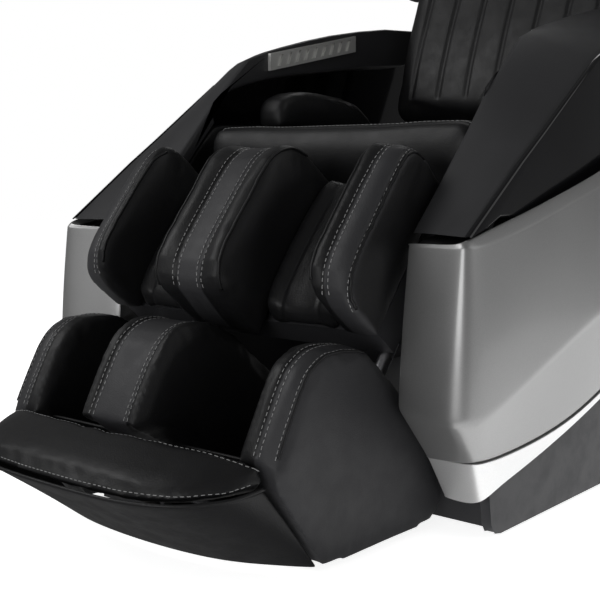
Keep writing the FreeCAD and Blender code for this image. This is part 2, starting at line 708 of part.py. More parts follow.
apron = loft_across("foot_apron", mirrored(APRON_LOW), mirrored(APRON_HIGH), foot_floor, 115,
                    role="XY_Plane")
doc.recompute()
keep(loft_in(apron, "SubtractiveLoft", mirrored(inset(APRON_LOW)), mirrored(inset(APRON_HIGH)), foot_floor,
             115, "XY_Plane"))

NOTCH = [(54, -151), (54, -182), (-54, -182), (-54, -151)]
TOE_LOW = [(-226, -151), (-206, -206), (-166, -245), (-104, -262), (0, -toe_reach)]
TOE_HIGH = [(-216, -151), (-192, -164), (-150, -176), (-100, -188), (0, -194)]
keep(loft_across("toe_pad", mirrored(TOE_LOW) + NOTCH, mirrored(TOE_HIGH) + NOTCH, 116, 160,
                 role="XY_Plane"))


# ---------------------------------------------------------------- screw actuators
def turned(point, lean, pivot):
    """Where a point drawn upright about a hinge comes to rest."""
    angle = math.radians(number(lean))
    y, z = point
    return (number(pivot[0]) + y * math.cos(angle) + z * math.sin(angle),
            number(pivot[1]) - y * math.sin(angle) + z * math.cos(angle))


def actuator(name, x, start, end, eye_hole, sleeve_long, motor_side):
    """A motor sleeve pinned at start and its rod reaching the loose eye at end, drawn along Y."""
    reach = math.hypot(end[0] - start[0], end[1] - start[1])
    slope = math.degrees(math.atan2(end[1] - start[1], end[0] - start[0]))
    knuckle = rod(f"{name}_knuckle", 12, (x - 10, x + 10), 0, 0)
    pin_hole = rod(f"{name}_pin_hole", 6 + pin_play, (x - 12, x + 12), 0, 0)
    pieces = []
    for piece, radius, low, high in (
            ("sleeve", 20, 24, sleeve_long), ("sleeve_bore", 9 + pin_play, 44, sleeve_long + 2),
            ("shank", 9, 90, reach - eye_hole - 3), ("neck", 9, 8, 26)):
        bar = doc.addObject("Part::Cylinder", f"{name}_{piece}")
        bind(bar, "Radius", radius)
        bar.Height = high - low
        bar.Placement = Placement(Vector(x, low, 0), Rotation(Vector(1, 0, 0), -90))
        pieces.append(bar)
    motor = box(f"{name}_motor", (x - 22, x + 22), (28, 98), sorted((58 * motor_side, 16 * motor_side)))
    sleeve = less(f"{name}_actuator", fuse(f"{name}_body", knuckle, pieces[3], pieces[0], motor), pin_hole,
                  pieces[1])
    eye = rod(f"{name}_eye_disc", eye_hole + 6, (x - 8, x + 8), reach, 0)
    hole = rod(f"{name}_eye_hole", eye_hole, (x - 10, x + 10), reach, 0)
    arm = less(f"{name}_rod", fuse(f"{name}_rod_body", pieces[2], eye), hole)
    for thing in (sleeve, arm):
        keep(thing, start[0], start[1], lean=-slope)


LEG_EYE = turned((CLEVIS[0], CLEVIS[1]), leg_lean, (leg_y, leg_z))
BACK_EYE = turned((LEVER[0], LEVER[1]), back_lean, (back_y, back_z))
actuator("leg", -84, LEG_DRIVE, LEG_EYE, 12, 215, 1)
actuator("back", 84, BACK_DRIVE, BACK_EYE, 12, 190, -1)

# ---------------------------------------------------------------- check and export
doc.recompute()
for thing in doc.Objects:
    if "Invalid" in thing.State or "Error" in thing.State:
        raise RuntimeError(f"{thing.Label} is {thing.State}")
os.makedirs("parts", exist_ok=True)
for part in parts:
    if part.Shape.isNull() or not part.Shape.isValid() or not part.Shape.Solids:
        raise RuntimeError(f"{part.Label} has no sound shape")
    part.Shape.exportStep(f"parts/{part.Label}.step")
print(len(parts), "sub-parts written")
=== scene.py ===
"""A reclining massage chair: silver side panels, gloss black arms, black leather calf and foot massager."""
import math
import bpy
import numpy as np
from mathutils import Matrix, Vector
from mathutils.kdtree import KDTree


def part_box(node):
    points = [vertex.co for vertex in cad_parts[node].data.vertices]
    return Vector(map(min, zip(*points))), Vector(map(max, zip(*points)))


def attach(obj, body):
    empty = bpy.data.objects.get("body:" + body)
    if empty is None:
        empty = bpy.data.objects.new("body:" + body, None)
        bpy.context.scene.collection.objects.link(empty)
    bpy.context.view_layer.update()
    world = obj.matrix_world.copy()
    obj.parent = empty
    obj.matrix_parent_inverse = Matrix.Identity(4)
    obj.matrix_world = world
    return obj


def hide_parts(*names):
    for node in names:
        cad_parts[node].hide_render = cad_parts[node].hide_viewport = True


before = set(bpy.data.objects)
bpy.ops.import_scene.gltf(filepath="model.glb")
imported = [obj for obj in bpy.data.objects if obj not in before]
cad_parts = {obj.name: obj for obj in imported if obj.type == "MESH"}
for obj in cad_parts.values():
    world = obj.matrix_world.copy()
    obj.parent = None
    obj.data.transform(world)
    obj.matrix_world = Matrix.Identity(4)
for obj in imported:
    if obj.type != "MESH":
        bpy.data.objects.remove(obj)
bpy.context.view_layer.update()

# ------------------------------------------------------------------------------------------------
# Studio. A white floor under a white surround, four soft area lights, and a pale sheet just under the
# floor that only reflections see, so that the lacquer picks up a floor and the gloss arm stays dark.
MM = 0.001
ARMS_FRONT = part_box("arm_shell_left")[0][1] - 54 * MM


def at(x, y, z):
    """A place in millimetres from the chair's middle, the front of its arms and the floor."""
    return Vector((x * MM, ARMS_FRONT + y * MM, z * MM))


class Wire:
    """A socket in a node tree; arithmetic on it adds Math nodes."""

    def __init__(self, tree, socket=None):
        self.tree, self.socket = tree, socket

    def node(self, kind, settings=(), inputs=(), out=0):
        """Any node: its settings go in first, then the values or links of its sockets."""
        made = self.tree.nodes.new("ShaderNode" + kind)
        for name, value in dict(settings).items():
            if name == "stops":
                ramp = made.color_ramp.elements
                while len(ramp) < len(value):
                    ramp.new(0.5)
                for stop, (place, shade) in zip(ramp, value):
                    stop.position, stop.color = place, (shade, shade, shade, 1)
            else:
                setattr(made, name, value)
        for name, value in dict(inputs).items():
            if isinstance(value, Wire):
                self.tree.links.new(value.socket, made.inputs[name])
            else:
                made.inputs[name].default_value = value
        return Wire(self.tree, made.outputs[out])

    def maths(self, operation, *values):
        return self.node("Math", {"operation": operation}, dict(enumerate(values)))

    def __add__(self, other):
        return self.maths("ADD", self, other)

    def __mul__(self, other):
        return self.maths("MULTIPLY", self, other)

    def __abs__(self):
        return self.maths("ABSOLUTE", self)

    __radd__, __rmul__ = __add__, __mul__

    def step(self, low, high, start=0.0, end=1.0):
        """Rises from start to end as the value goes from low to high."""
        return self.node("MapRange", {"interpolation_type": "SMOOTHSTEP", "clamp": True},
                         {"Value": self, "From Min": low, "From Max": high, "To Min": start, "To Max": end})


world = bpy.data.worlds.new("studio")
world.use_nodes = True
world.node_tree.nodes.clear()
sky = Wire(world.node_tree)
dim = sky.node("Background", inputs={"Color": (1, 1, 1, 1), "Strength": 0.16})
white = sky.node("Background", inputs={"Color": (1, 1, 1, 1), "Strength": 1.0})
seen = sky.node("LightPath", out="Is Camera Ray")
shown = sky.node("MixShader", inputs={0: seen, 1: dim, 2: white})
world_out = world.node_tree.nodes.new("ShaderNodeOutputWorld")
world.node_tree.links.new(shown.socket, world_out.inputs["Surface"])
bpy.context.scene.world = world
bpy.context.scene.view_settings.view_transform = "Standard"


def area_light(name, place, target, size, power, tall=None):
    light = bpy.data.lights.new(name, "AREA")
    light.energy, light.size = power, size
    if tall:
        light.shape, light.size_y = "RECTANGLE", tall
    lamp = bpy.data.objects.new(name, light)
    lamp.location = place
    lamp.rotation_euler = (target - place).to_track_quat("-Z", "Y").to_euler()
    bpy.context.scene.collection.objects.link(lamp)
    return lamp


chair_middle = at(0, 250, 400)
area_light("key", at(-1500, -1300, 2100), chair_middle, 1.6, 30)
area_light("side", at(2300, 1100, 1700), chair_middle, 1.4, 9, 2.2)
area_light("front_fill", at(500, -2600, 700), chair_middle, 1.8, 24, 1.0)
area_light("back_rim", at(-500, 2400, 2200), chair_middle, 1.6, 18)

SENSOR, LENS, DIP, TURN = 36, 65.92, 6.86, 40.18
camera_data = bpy.data.cameras.new("camera")
camera_data.sensor_width, camera_data.lens = SENSOR, LENS
camera = bpy.data.objects.new("camera", camera_data)
camera.location = at(994, -1000, 467)
camera.rotation_euler = (math.radians(90 - DIP), 0, math.radians(TURN))
bpy.context.scene.collection.objects.link(camera)
bpy.context.scene.camera = camera


def deselect():
    if bpy.context.object and bpy.context.object.mode != "OBJECT":
        bpy.ops.object.mode_set(mode="OBJECT")
    bpy.ops.object.select_all(action="DESELECT")


def paint(name, build, **fixed):
    """A material: build gives the changing sockets, and fixed the ones that are the same all over."""
    material = bpy.data.materials.new(name)
    material.use_nodes = True
    shader = material.node_tree.nodes["Principled BSDF"]
    for socket, value in fixed.items():
        shader.inputs[socket.replace("_", " ")].default_value = value
    start = Wire(material.node_tree)
    place = start.node("TexCoord", out="Object")
    for socket, value in build(place).items():
        if isinstance(value, Wire):
            material.node_tree.links.new(value.socket, shader.inputs[socket])
        else:
            shader.inputs[socket].default_value = value
    return material


def noise(place, scale, detail=2, rough=0.5):
    return place.node("TexNoise", inputs={"Vector": place, "Scale": scale, "Detail": detail,
                                          "Roughness": rough})


def blend_colour(amount, low, high):
    return amount.node("Mix", {"data_type": "RGBA"}, {0: amount, 6: (*low, 1), 7: (*high, 1)}, out=2)


def bump(height, depth, strength=1.0):
    return height.node("Bump", inputs={"Height": height, "Distance": depth, "Strength": strength})


def white_floor(place):
    return {"Base Color": blend_colour(noise(place, 3), (0.86, 0.86, 0.86), (0.9, 0.9, 0.9)),
            "Roughness": 0.9}


deselect()
bpy.ops.mesh.primitive_plane_add(size=14, location=(0, 0, 0))
floor = bpy.context.object
floor.name = "studio_floor"
floor.data.materials.append(paint("studio_white", white_floor, Emission_Color=(1, 1, 1, 1),
                                  Emission_Strength=0.86))
floor.visible_glossy = False
deselect()
bpy.ops.mesh.primitive_plane_add(size=1)
sheet = bpy.context.object
sheet.name = "reflecting_sheet"
for corner in sheet.data.vertices:
    corner.co = at(1500 + 2400 * corner.co.x, 1000 + 2800 * corner.co.y, -1)
sheet.visible_camera = sheet.visible_diffuse = sheet.visible_shadow = False
sheet.data.materials.append(paint("sheet_white", white_floor, Emission_Color=(1, 1, 1, 1),
                                  Emission_Strength=0.38))

# ------------------------------------------------------------------------------------------------
# Base and other plain pieces. Steel parts are powder-coated or zinc-plated, feet and wheels are moulded
# rubber, cases are grained plastic and rollers nylon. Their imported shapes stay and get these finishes.


def powder_coat(place):
    grain = noise(place, 900, 1)
    return {"Base Color": blend_colour(noise(place, 20), (0.02, 0.02, 0.022), (0.035, 0.035, 0.038)),
            "Roughness": grain.step(0.2, 0.8, 0.42, 0.6), "Normal": bump(grain, 0.00015, 0.6)}


def zinc_plate(place):
    clouds = noise(place, 60, 4)
    return {"Base Color": blend_colour(clouds, (0.42, 0.42, 0.44), (0.6, 0.6, 0.62)),
            "Roughness": clouds.step(0.3, 0.7, 0.25, 0.42), "Metallic": 1.0}


def moulded_plastic(place):
    grain = place.node("TexVoronoi", {"feature": "SMOOTH_F1"}, {"Vector": place, "Scale": 1400},
                       out="Distance")
    scuffs = noise(place, 30, 5, 0.7)
    return {"Base Color": blend_colour(scuffs, (0.022, 0.022, 0.024), (0.036, 0.036, 0.039)),
            "Roughness": scuffs.step(0.3, 0.8, 0.42, 0.58), "Normal": bump(grain, 0.0001, 0.5)}


def moulded_rubber(place):
    return {"Base Color": blend_colour(noise(place, 120, 4), (0.01, 0.01, 0.01), (0.024, 0.024, 0.024)),
            "Roughness": noise(place, 300).step(0.3, 0.7, 0.7, 0.85),
            "Normal": bump(noise(place, 700), 0.0002)}


def white_nylon(place):
    return {"Base Color": blend_colour(noise(place, 80, 4), (0.55, 0.53, 0.48), (0.72, 0.7, 0.64)),
            "Roughness": noise(place, 200).step(0.3, 0.7, 0.35, 0.5),
            "Normal": bump(noise(place, 500), 0.0001)}


black_steel = paint("powder_coated_steel", powder_coat, Metallic=0.2)
zinc = paint("zinc_plated_steel", zinc_plate)
charcoal = paint("moulded_charcoal_plastic", moulded_plastic, Specular_IOR_Level=0.3)
rubber = paint("moulded_rubber", moulded_rubber)
nylon = paint("white_nylon", white_nylon)


def repaint(material, *nodes):
    for name in nodes:
        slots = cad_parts[name].data.materials
        slots.clear()
        slots.append(material)


repaint(black_steel, "base_frame", "base_pan", "tilt_brackets", "seat_pan", "seat_plate_left",
        "seat_plate_right", "back_frame", "calf_tray")
repaint(zinc, "wheel_axles", "massage_carriage", "foot_rods", "leg_rod", "back_rod")
repaint(charcoal, "power_unit", "air_pump", "foot_housing", "leg_actuator", "back_actuator")
repaint(rubber, "floor_feet", "wheel_left", "wheel_right")
repaint(nylon, "massage_rollers_lower", "massage_rollers_upper", "sole_roller_left", "sole_roller_right")

# ------------------------------------------------------------------------------------------------
# Side panels. Each is one moulding in metallic grey lacquer that wraps from the front of the base
# round its corner and along the side, with a rim under the arm and a facet that turns in below.
# A separate lighter strip follows its lower edge. Both are screwed to lugs on the base skirts.


def skin(name, rows, closed=True, caps=True):
    """A grid bent onto rows of places: closed rings make a tube, with caps on its ends."""
    width = len(rows[0])
    across, along = len(rows) - 1, width if closed else width - 1
    deselect()
    bpy.ops.mesh.primitive_grid_add(x_subdivisions=across, y_subdivisions=along, size=2)
    thing = bpy.context.object
    thing.name = name
    for corner in thing.data.vertices:
        i, j = round((corner.co.x + 1) / 2 * across), round((corner.co.y + 1) / 2 * along)
        corner.co = rows[i][j % width]
    bpy.ops.object.mode_set(mode="EDIT")
    bpy.ops.mesh.select_all(action="SELECT")
    bpy.ops.mesh.remove_doubles(threshold=1e-5)
    if caps:
        bpy.ops.mesh.fill_holes(sides=0)
    bpy.ops.mesh.select_all(action="SELECT")
    bpy.ops.mesh.normals_make_consistent(inside=False)
    bpy.ops.object.mode_set(mode="OBJECT")
    return thing


def finish_with(thing, *steps):
    """Adds each modifier with its settings and applies it."""
    bpy.context.view_layer.objects.active = thing
    for kind, settings in steps:
        modifier = thing.modifiers.new(kind.lower(), kind)
        for name, value in settings.items():
            setattr(modifier, name, value)
        bpy.ops.object.modifier_apply(modifier=modifier.name)
    return thing


def smooth(thing, degrees=40):
    deselect()
    thing.select_set(True)
    bpy.context.view_layer.objects.active = thing
    bpy.ops.object.shade_smooth_by_angle(angle=math.radians(degrees))
    return thing


def mirrored(thing, name):
    """The same piece for the other side of the chair."""
    twin = thing.copy()
    twin.data = thing.data.copy()
    twin.name = name
    bpy.context.scene.collection.objects.link(twin)
    twin.data.transform(Matrix.Diagonal((-1, 1, 1, 1)))
    twin.data.flip_normals()
    return twin


def fit(thing, body, material, slot, *nodes):
    """Gives a piece its finish, the body it rides on and the CAD nodes it stands for."""
    thing.data.materials.clear()
    thing.data.materials.append(material)
    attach(thing, body)
    if nodes:
        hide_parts(*nodes)
    return thing


def metallic_lacquer(light, dark):
    def build(place):
        flakes = place.node("TexVoronoi", inputs={"Vector": place, "Scale": 2600}, out="Color")
        sparkle = flakes.node("SeparateColor", inputs={0: flakes})
        clouds = noise(place, 5, 3)
        tone = clouds * 0.4 + sparkle * 0.6
        return {"Base Color": blend_colour(tone, dark, light),
                "Roughness": clouds.step(0.3, 0.7, 0.36, 0.42),
                "Metallic": 0.8, "Normal": bump(noise(place, 9, 1), 0.0006, 0.25)}
    return build


silver = paint("grey_metallic_lacquer", metallic_lacquer((0.33, 0.33, 0.33), (0.25, 0.25, 0.25)),
               Coat_Weight=0.35, Coat_Roughness=0.12)
pale_silver = paint("pale_silver_lacquer", metallic_lacquer((0.85, 0.85, 0.85), (0.7, 0.7, 0.7)),
                    Coat_Weight=0.35, Coat_Roughness=0.12)

# plan of the panel: x, y, top and crease of its face, width of the rim, then the lower edge of its facet
PANEL_PLAN = [
    (255, 73, 378, 182, 2, 255, 120, 108), (285, 63, 379, 181, 2, 283, 113, 111),
    (315, 53, 380, 181, 2, 308, 107, 114), (337, 46, 381, 181, 3, 325, 103, 117),
    (347, 44, 383, 181, 4, 333, 104, 119), (353, 48, 385, 182, 6, 338, 108, 120),
    (357, 60, 388, 184, 9, 342, 116, 121), (361, 90, 395, 192, 13, 346, 134, 122),
    (366, 150, 409, 212, 14, 350, 176, 125), (373, 232, 431, 246, 14, 355, 240, 132),
    (379, 320, 456, 280, 14, 360, 322, 148), (383, 420, 487, 308, 14, 364, 421, 183),
    (385, 540, 525, 340, 14, 367, 540, 229), (386, 680, 570, 378, 14, 369, 680, 284),
    (385, 820, 610, 418, 13, 369, 820, 340), (382, 930, 633, 452, 10, 368, 930, 387),
    (378, 985, 630, 472, 6, 366, 985, 415)]
INNER_EDGE = 253


def plan_normals(points):
    """The outward direction of the plan at each of its points."""
    normals = []
    for i, here in enumerate(points):
        before, after = points[max(i - 1, 0)], points[min(i + 1, len(points) - 1)]
        run = Vector((after[0] - before[0], after[1] - before[1])).normalized()
        normals.append(Vector((run.y, -run.x)))
    return normals


def behind(x, y, depth):
    """A point of the plan moved in and back by the same step all along, so a tight corner never folds."""
    return max(x - 0.8 * depth, INNER_EDGE), y + 0.6 * depth


def part_way(a, b, share):
    """A place that far along the line from a to b."""
    return tuple(p + (q - p) * share for p, q in zip(a, b))


panel_rings = []
for (x, y, top, crease, rim, *foot), out in zip(PANEL_PLAN, plan_normals(PANEL_PLAN)):
    lean = 6 + 9 * max(0, 1 - (y - 44) / 120)
    middle = (top + crease) / 2
    ring = [(*behind(x, y, 22), top - 3), (*behind(x, y, rim * 0.9 + 3), top + rim * 0.2),
            (*behind(x, y, rim * 0.9 + 1), top + rim * 0.2), (*behind(x, y, rim * 0.8), top + rim * 0.1)]
    for push, z in ((0, top - rim * 0.85), (0.8, top - rim * 0.9 - 1.5), (1.2, top - rim * 0.9 - 5),
                    (lean * 0.5 + 1, middle + 25), (lean * 0.8 + 1, middle - 30), (lean + 1, crease + 10),
                    (lean + 1, crease + 2), (lean - 1, crease - 4)):
        ring.append((x + out.x * push, y + out.y * push, z))
    ring += [part_way(ring[-1], foot, share) for share in (0.08, 0.5, 0.93, 1)]
    ring.append((foot[0] - 6, foot[1] + 4, foot[2] + 1))
    panel_rings.append([at(*place) for place in ring])
panel = skin("side_panel_skin_left", panel_rings, closed=False, caps=False)
finish_with(panel, ("SOLIDIFY", {"thickness": 3 * MM, "offset": -1}),
            ("SUBSURF", {"levels": 2, "render_levels": 2}))
smooth(panel, 50)
fit(panel, "base", silver, "panel_silver", "side_panel_left")
fit(mirrored(panel, "side_panel_skin_right"), "base", silver, "panel_silver", "side_panel_right")

TRIM_TOP = [(255, 119, 110), (283, 112, 112), (308, 106, 114), (326, 102.5, 116), (334, 103.5, 117),
            (339, 108, 118), (343, 116, 119), (347, 134, 120), (351, 176, 123), (356, 240, 130),
            (361, 322, 146), (365, 421, 181), (368, 500, 211), (370, 600, 250)]
TRIM_FOOT = [(255, 160, 50), (278, 155, 50), (298, 150, 52), (312, 147, 56), (322, 146, 62), (329, 149, 69),
             (335, 156, 77), (340, 170, 85), (345, 200, 95), (350, 258, 112), (356, 332, 136),
             (361, 425, 169), (364, 502, 201), (367, 600, 242)]
trim_rings = []
for top, low in zip(TRIM_TOP, TRIM_FOOT):
    ring = [(*behind(*top[:2], 12), top[2] + 1), (*behind(*top[:2], 1.5), top[2] + 0.5), top]
    ring += [part_way(top, low, share) for share in (0.06, 0.5, 0.94)]
    ring += [low, (*behind(*low[:2], 1.5), low[2] - 0.5), (*behind(*low[:2], 12), low[2] + 1)]
    trim_rings.append([at(*place) for place in ring])
trim = skin("trim_strip_left", trim_rings, closed=False, caps=False)
finish_with(trim, ("SOLIDIFY", {"thickness": 2.5 * MM, "offset": -1}),
            ("SUBSURF", {"levels": 2, "render_levels": 2}))
smooth(trim, 50)
fit(trim, "base", pale_silver, "trim_silver", "side_trim_left")
fit(mirrored(trim, "trim_strip_right"), "base", pale_silver, "trim_silver", "side_trim_right")

# ------------------------------------------------------------------------------------------------
# Armrests and skirts. Each arm is a matt moulded cap with a raked front, screwed to a rib on the seat
# plate, and a gloss black shell over its outer side. A plastic skirt closes the base below the panels.


def piano_black(place):
    haze = noise(place, 12, 3)
    return {"Base Color": blend_colour(haze, (0.002, 0.002, 0.0025), (0.005, 0.005, 0.006)),
            "Roughness": haze.step(0.3, 0.7, 0.05, 0.09)}


def soft_touch(place):
    grain = noise(place, 1500, 2)
    clouds = noise(place, 14, 3)
    return {"Base Color": blend_colour(clouds, (0.016, 0.016, 0.017), (0.024, 0.024, 0.026)),
            "Roughness": clouds.step(0.3, 0.7, 0.46, 0.56), "Normal": bump(grain, 0.00008, 0.5)}


gloss_black = paint("piano_black", piano_black, Specular_IOR_Level=0.3, Coat_Weight=0.1,
                    Coat_Roughness=0.03)
arm_black = paint("soft_touch_black", soft_touch, Specular_IOR_Level=0.3)
SHELL_OUTLINE = [
    (54, 391), (112, 433), (170, 475), (226, 513), (293, 560), (359, 606), (416, 635), (470, 652),
    (530, 668), (590, 682), (660, 696), (730, 707), (815, 712), (900, 713), (950, 680), (978, 630),
    (984, 570), (880, 540), (740, 500), (600, 460), (500, 436), (400, 412), (285, 410), (170, 409),
    (120, 409), (90, 396)]


def drawn_in(outline, inset):
    """An outline moved in by a distance, measured square to its edges."""
    moved = []
    for i, point in enumerate(outline):
        before, after = outline[i - 1], outline[(i + 1) % len(outline)]
        run = Vector((after[0] - before[0], after[1] - before[1])).normalized()
        moved.append((point[0] + run.y * inset, point[1] - run.x * inset))
    return moved


def slab(name, outline, stations):
    """A closed piece across the chair: at each station, an x and how far the outline is drawn in."""
    rows = [[at(x, y, z) for y, z in drawn_in(outline, inset)] for x, inset in stations]
    return skin(name, rows)


SKIRT_OUTLINE = [(178, 22), (186, 9), (200, 6), (985, 6), (1012, 16), (1020, 40), (1010, 423), (850, 393),
                 (600, 290), (393, 213), (225, 133), (172, 60)]
skirt = slab("skirt_cover_left", SKIRT_OUTLINE, [(300.2, 1.2), (300.6, 0.4), (301.6, 0), (313.4, 0),
                                                 (314.6, 0.5), (315, 1.6)])
smooth(skirt, 35)
fit(skirt, "base", charcoal, "charcoal", "base_skirt_left")
fit(mirrored(skirt, "skirt_cover_right"), "base", charcoal, "charcoal", "base_skirt_right")

shell = slab("arm_shell_gloss_left", SHELL_OUTLINE,
             [(345.2, 0), (347.5, 0), (348.6, 0.2), (349.6, 0.8), (350.4, 1.7), (350.9, 2.8), (351.1, 3.6)])
smooth(shell, 35)
fit(shell, "cradle", gloss_black, "gloss_black", "arm_shell_left")
fit(mirrored(shell, "arm_shell_gloss_right"), "cradle", gloss_black, "gloss_black", "arm_shell_right")

CAP_INNER = [(92, 390), (150, 450), (205, 509), (250, 560), (292, 601), (340, 644), (385, 660), (430, 672),
             (495, 688), (560, 702), (640, 716), (720, 727), (810, 732), (898, 734)]
CAP_OUTER = [(54, 390), (112, 433), (170, 475), (226, 513), (293, 560), (359, 606), (388, 622), (416, 634),
             (470, 652), (560, 675), (640, 692), (730, 706), (815, 711), (898, 712)]
UNDER_INNER = [(898, 683), (830, 672), (771, 660), (660, 650), (550, 636), (444, 622), (390, 613),
               (343, 603), (305, 592), (278, 579), (262, 566), (258, 552), (261, 536), (220, 492),
               (177, 442), (136, 391)]
UNDER_OUTER = [(898, 683), (830, 672), (771, 660), (660, 650), (550, 636), (444, 617), (400, 604),
               (352, 583), (312, 560), (290, 546), (276, 537), (264, 528), (250, 518), (215, 493),
               (165, 459), (110, 391)]
cap_rows = []
for x, share, inset in ((246.4, 0, 7), (247, 0, 3), (250, 0.02, 0.8), (256, 0.06, 0), (275, 0.2, -1.5),
                        (300, 0.47, -2), (325, 0.76, -1), (338, 0.93, 0), (343, 0.99, 0.6),
                        (344.6, 1, 2.5)):
    ring = [(a[0] + (b[0] - a[0]) * share, a[1] + (b[1] - a[1]) * share)
            for a, b in zip(CAP_INNER + UNDER_INNER, CAP_OUTER + UNDER_OUTER)]
    cap_rows.append([at(x, y, z) for y, z in drawn_in(ring, inset)])
cap = skin("arm_cap_skin_left", cap_rows)
smooth(cap, 45)
fit(cap, "cradle", arm_black, "charcoal", "arm_cap_left")
fit(mirrored(cap, "arm_cap_skin_right"), "cradle", arm_black, "charcoal", "arm_cap_right")


def key_plastic(place):
    return {"Base Color": blend_colour(noise(place, 200), (0.06, 0.06, 0.065), (0.1, 0.1, 0.11)),
            "Roughness": noise(place, 90).step(0.3, 0.7, 0.25, 0.36),
            "Normal": bump(noise(place, 1200), 0.00005)}


satin_silver = paint("satin_silver_trim", metallic_lacquer((0.8, 0.8, 0.78), (0.62, 0.62, 0.6)))
key_grey = paint("key_plastic", key_plastic)
repaint(satin_silver, "vent_grille_left", "vent_grille_right")
repaint(gloss_black, "control_panel")
repaint(key_grey, "power_key", "pause_key", "power_switch")

# ------------------------------------------------------------------------------------------------
# Calf unit. Foam pads under black leather are stapled to a steel tray: a broad middle pad between
# the two calf wells and one pad outside each. A flat strip is sewn down the crown of every pad with
# a row of grey stitches beside each seam, and the edges are closed with piping.


LEATHER_SPECULAR = 0.24


def leather(strips, shine=0.44):
    """Soft black leather; strips are spans across the chair whose finish is a little greyer."""
    def build(place):
        grain = place.node("TexVoronoi", {"feature": "SMOOTH_F1"}, {"Vector": place, "Scale": 620},
                           out="Distance")
        pores = noise(place, 1900, 2)
        creases = noise(place, 34, 4, 0.62)
        wear = noise(place, 7, 3)
        across = abs(place.node("SeparateXYZ", inputs={0: place}, out="X"))
        mask = wear * 0.0    # no strip yet
        for low, high in strips:
            edge = 1.5 * MM
            mask = mask + across.step((low - 0.5) * MM - edge, (low + 0.5) * MM) * across.step(
                (high - 0.5) * MM, (high + 0.5) * MM + edge, 1.0, 0.0)
        plain = blend_colour(wear, (0.0045, 0.0045, 0.005), (0.009, 0.009, 0.0095))
        strip = blend_colour(wear, (0.018, 0.018, 0.0195), (0.028, 0.028, 0.03))
        colour = mask.node("Mix", {"data_type": "RGBA"}, {0: mask, 6: plain, 7: strip}, out=2)
        surface = grain * 0.55 + pores * 0.25 + creases * 1.1
        return {"Base Color": colour, "Normal": bump(surface, 0.0005, 0.55),
                "Roughness": creases.step(0.25, 0.75, shine - 0.05, shine + 0.08) + mask * 0.04}
    return build


def thread(place):
    ply = place.node("TexWave", {"wave_type": "BANDS"}, {"Vector": place, "Scale": 900})
    return {"Base Color": blend_colour(ply, (0.16, 0.16, 0.16), (0.34, 0.34, 0.34)), "Roughness": 0.8,
            "Normal": bump(ply, 0.0001)}


grey_thread = paint("grey_thread", thread)


def evenly(points, step):
    """A line through the points, smoothed and cut into steps of about that length in millimetres."""
    points = [Vector(p) for p in points]
    fine = []
    count = len(points)
    for i in range(count - 1):
        p0, p1, p2, p3 = points[max(i - 1, 0)], points[i], points[i + 1], points[min(i + 2, count - 1)]
        for k in range(16):
            t = k / 16
            fine.append(0.5 * ((2 * p1) + (p2 - p0) * t + (2 * p0 - 5 * p1 + 4 * p2 - p3) * t * t
                               + (3 * p1 - p0 - 3 * p2 + p3) * t ** 3))
    fine.append(points[-1])
    runs = [0.0]
    for a, b in zip(fine, fine[1:]):
        runs.append(runs[-1] + (b - a).length)
    pieces = max(2, round(runs[-1] / (step * MM)))
    wanted = np.linspace(0, runs[-1], pieces + 1)
    columns = [np.interp(wanted, runs, [p[axis] for p in fine]) for axis in range(3)]
    return [Vector(p) for p in zip(*columns)]


def settle(thing, line):
    """Drops a line onto the nearest surface; gives the places and the surface's normals there."""
    found = [thing.closest_point_on_mesh(point) for point in line]
    return [hit[1] for hit in found], [hit[2].normalized() for hit in found]


def seam_distance(thing, seams):
    """How far each vertex is from the nearest seam."""
    line = [point for seam in seams for point in settle(thing, evenly(seam, 2))[0]]
    tree = KDTree(len(line))
    for i, point in enumerate(line):
        tree.insert(point, i)
    tree.balance()
    return np.array([tree.find(vertex.co)[2] for vertex in thing.data.vertices])


def upholster(thing, seams, voxel=5, cap=9, groove=2.2, pressure=4.0):
    """Foam and leather: the pad swells between its seams, which stay sewn down, and is then smoothed."""
    finish_with(thing, ("REMESH", {"mode": "VOXEL", "voxel_size": voxel * MM}))
    flat = np.array([vertex.co for vertex in thing.data.vertices])
    held = thing.vertex_groups.new(name="sewn")
    for i, gap in enumerate(seam_distance(thing, seams) if seams else []):
        if gap < voxel * 0.8 * MM:
            held.add([i], 1.0, "REPLACE")
    cloth = thing.modifiers.new("leather", "CLOTH")
    rules = cloth.settings
    rules.quality, rules.mass = 5, 0.3
    rules.tension_stiffness = rules.compression_stiffness = rules.shear_stiffness = 18
    rules.bending_stiffness = 1.2
    rules.use_pressure, rules.uniform_pressure_force = True, pressure
    rules.effector_weights.gravity = 0
    rules.vertex_group_mass = "sewn"
    cloth.point_cache.frame_start, cloth.point_cache.frame_end = 1, 20
    for frame_number in range(1, 21):
        bpy.context.scene.frame_set(frame_number)
    posed = thing.evaluated_get(bpy.context.evaluated_depsgraph_get()).to_mesh()
    blown = np.array([vertex.co for vertex in posed.vertices])
    thing.modifiers.remove(cloth)
    bpy.context.scene.frame_set(1)
    moved = blown - flat
    length = np.linalg.norm(moved, axis=1, keepdims=True)
    moved *= np.minimum(1, cap * MM / np.maximum(length, 1e-9))
    thing.data.vertices.foreach_set("co", (flat + moved).ravel())
    thing.vertex_groups.clear()
    finish_with(thing, ("SMOOTH", {"factor": 0.5, "iterations": 4}),
                ("SUBSURF", {"levels": 1, "render_levels": 1}))
    if seams:
        gaps = seam_distance(thing, seams)
        for vertex, gap in zip(thing.data.vertices, gaps):
            if gap < 9 * MM:
                vertex.co -= vertex.normal * groove * MM * math.exp(-(gap / (3.2 * MM)) ** 2)
    deselect()
    thing.select_set(True)
    bpy.context.view_layer.objects.active = thing
    bpy.ops.object.shade_smooth()
    return thing


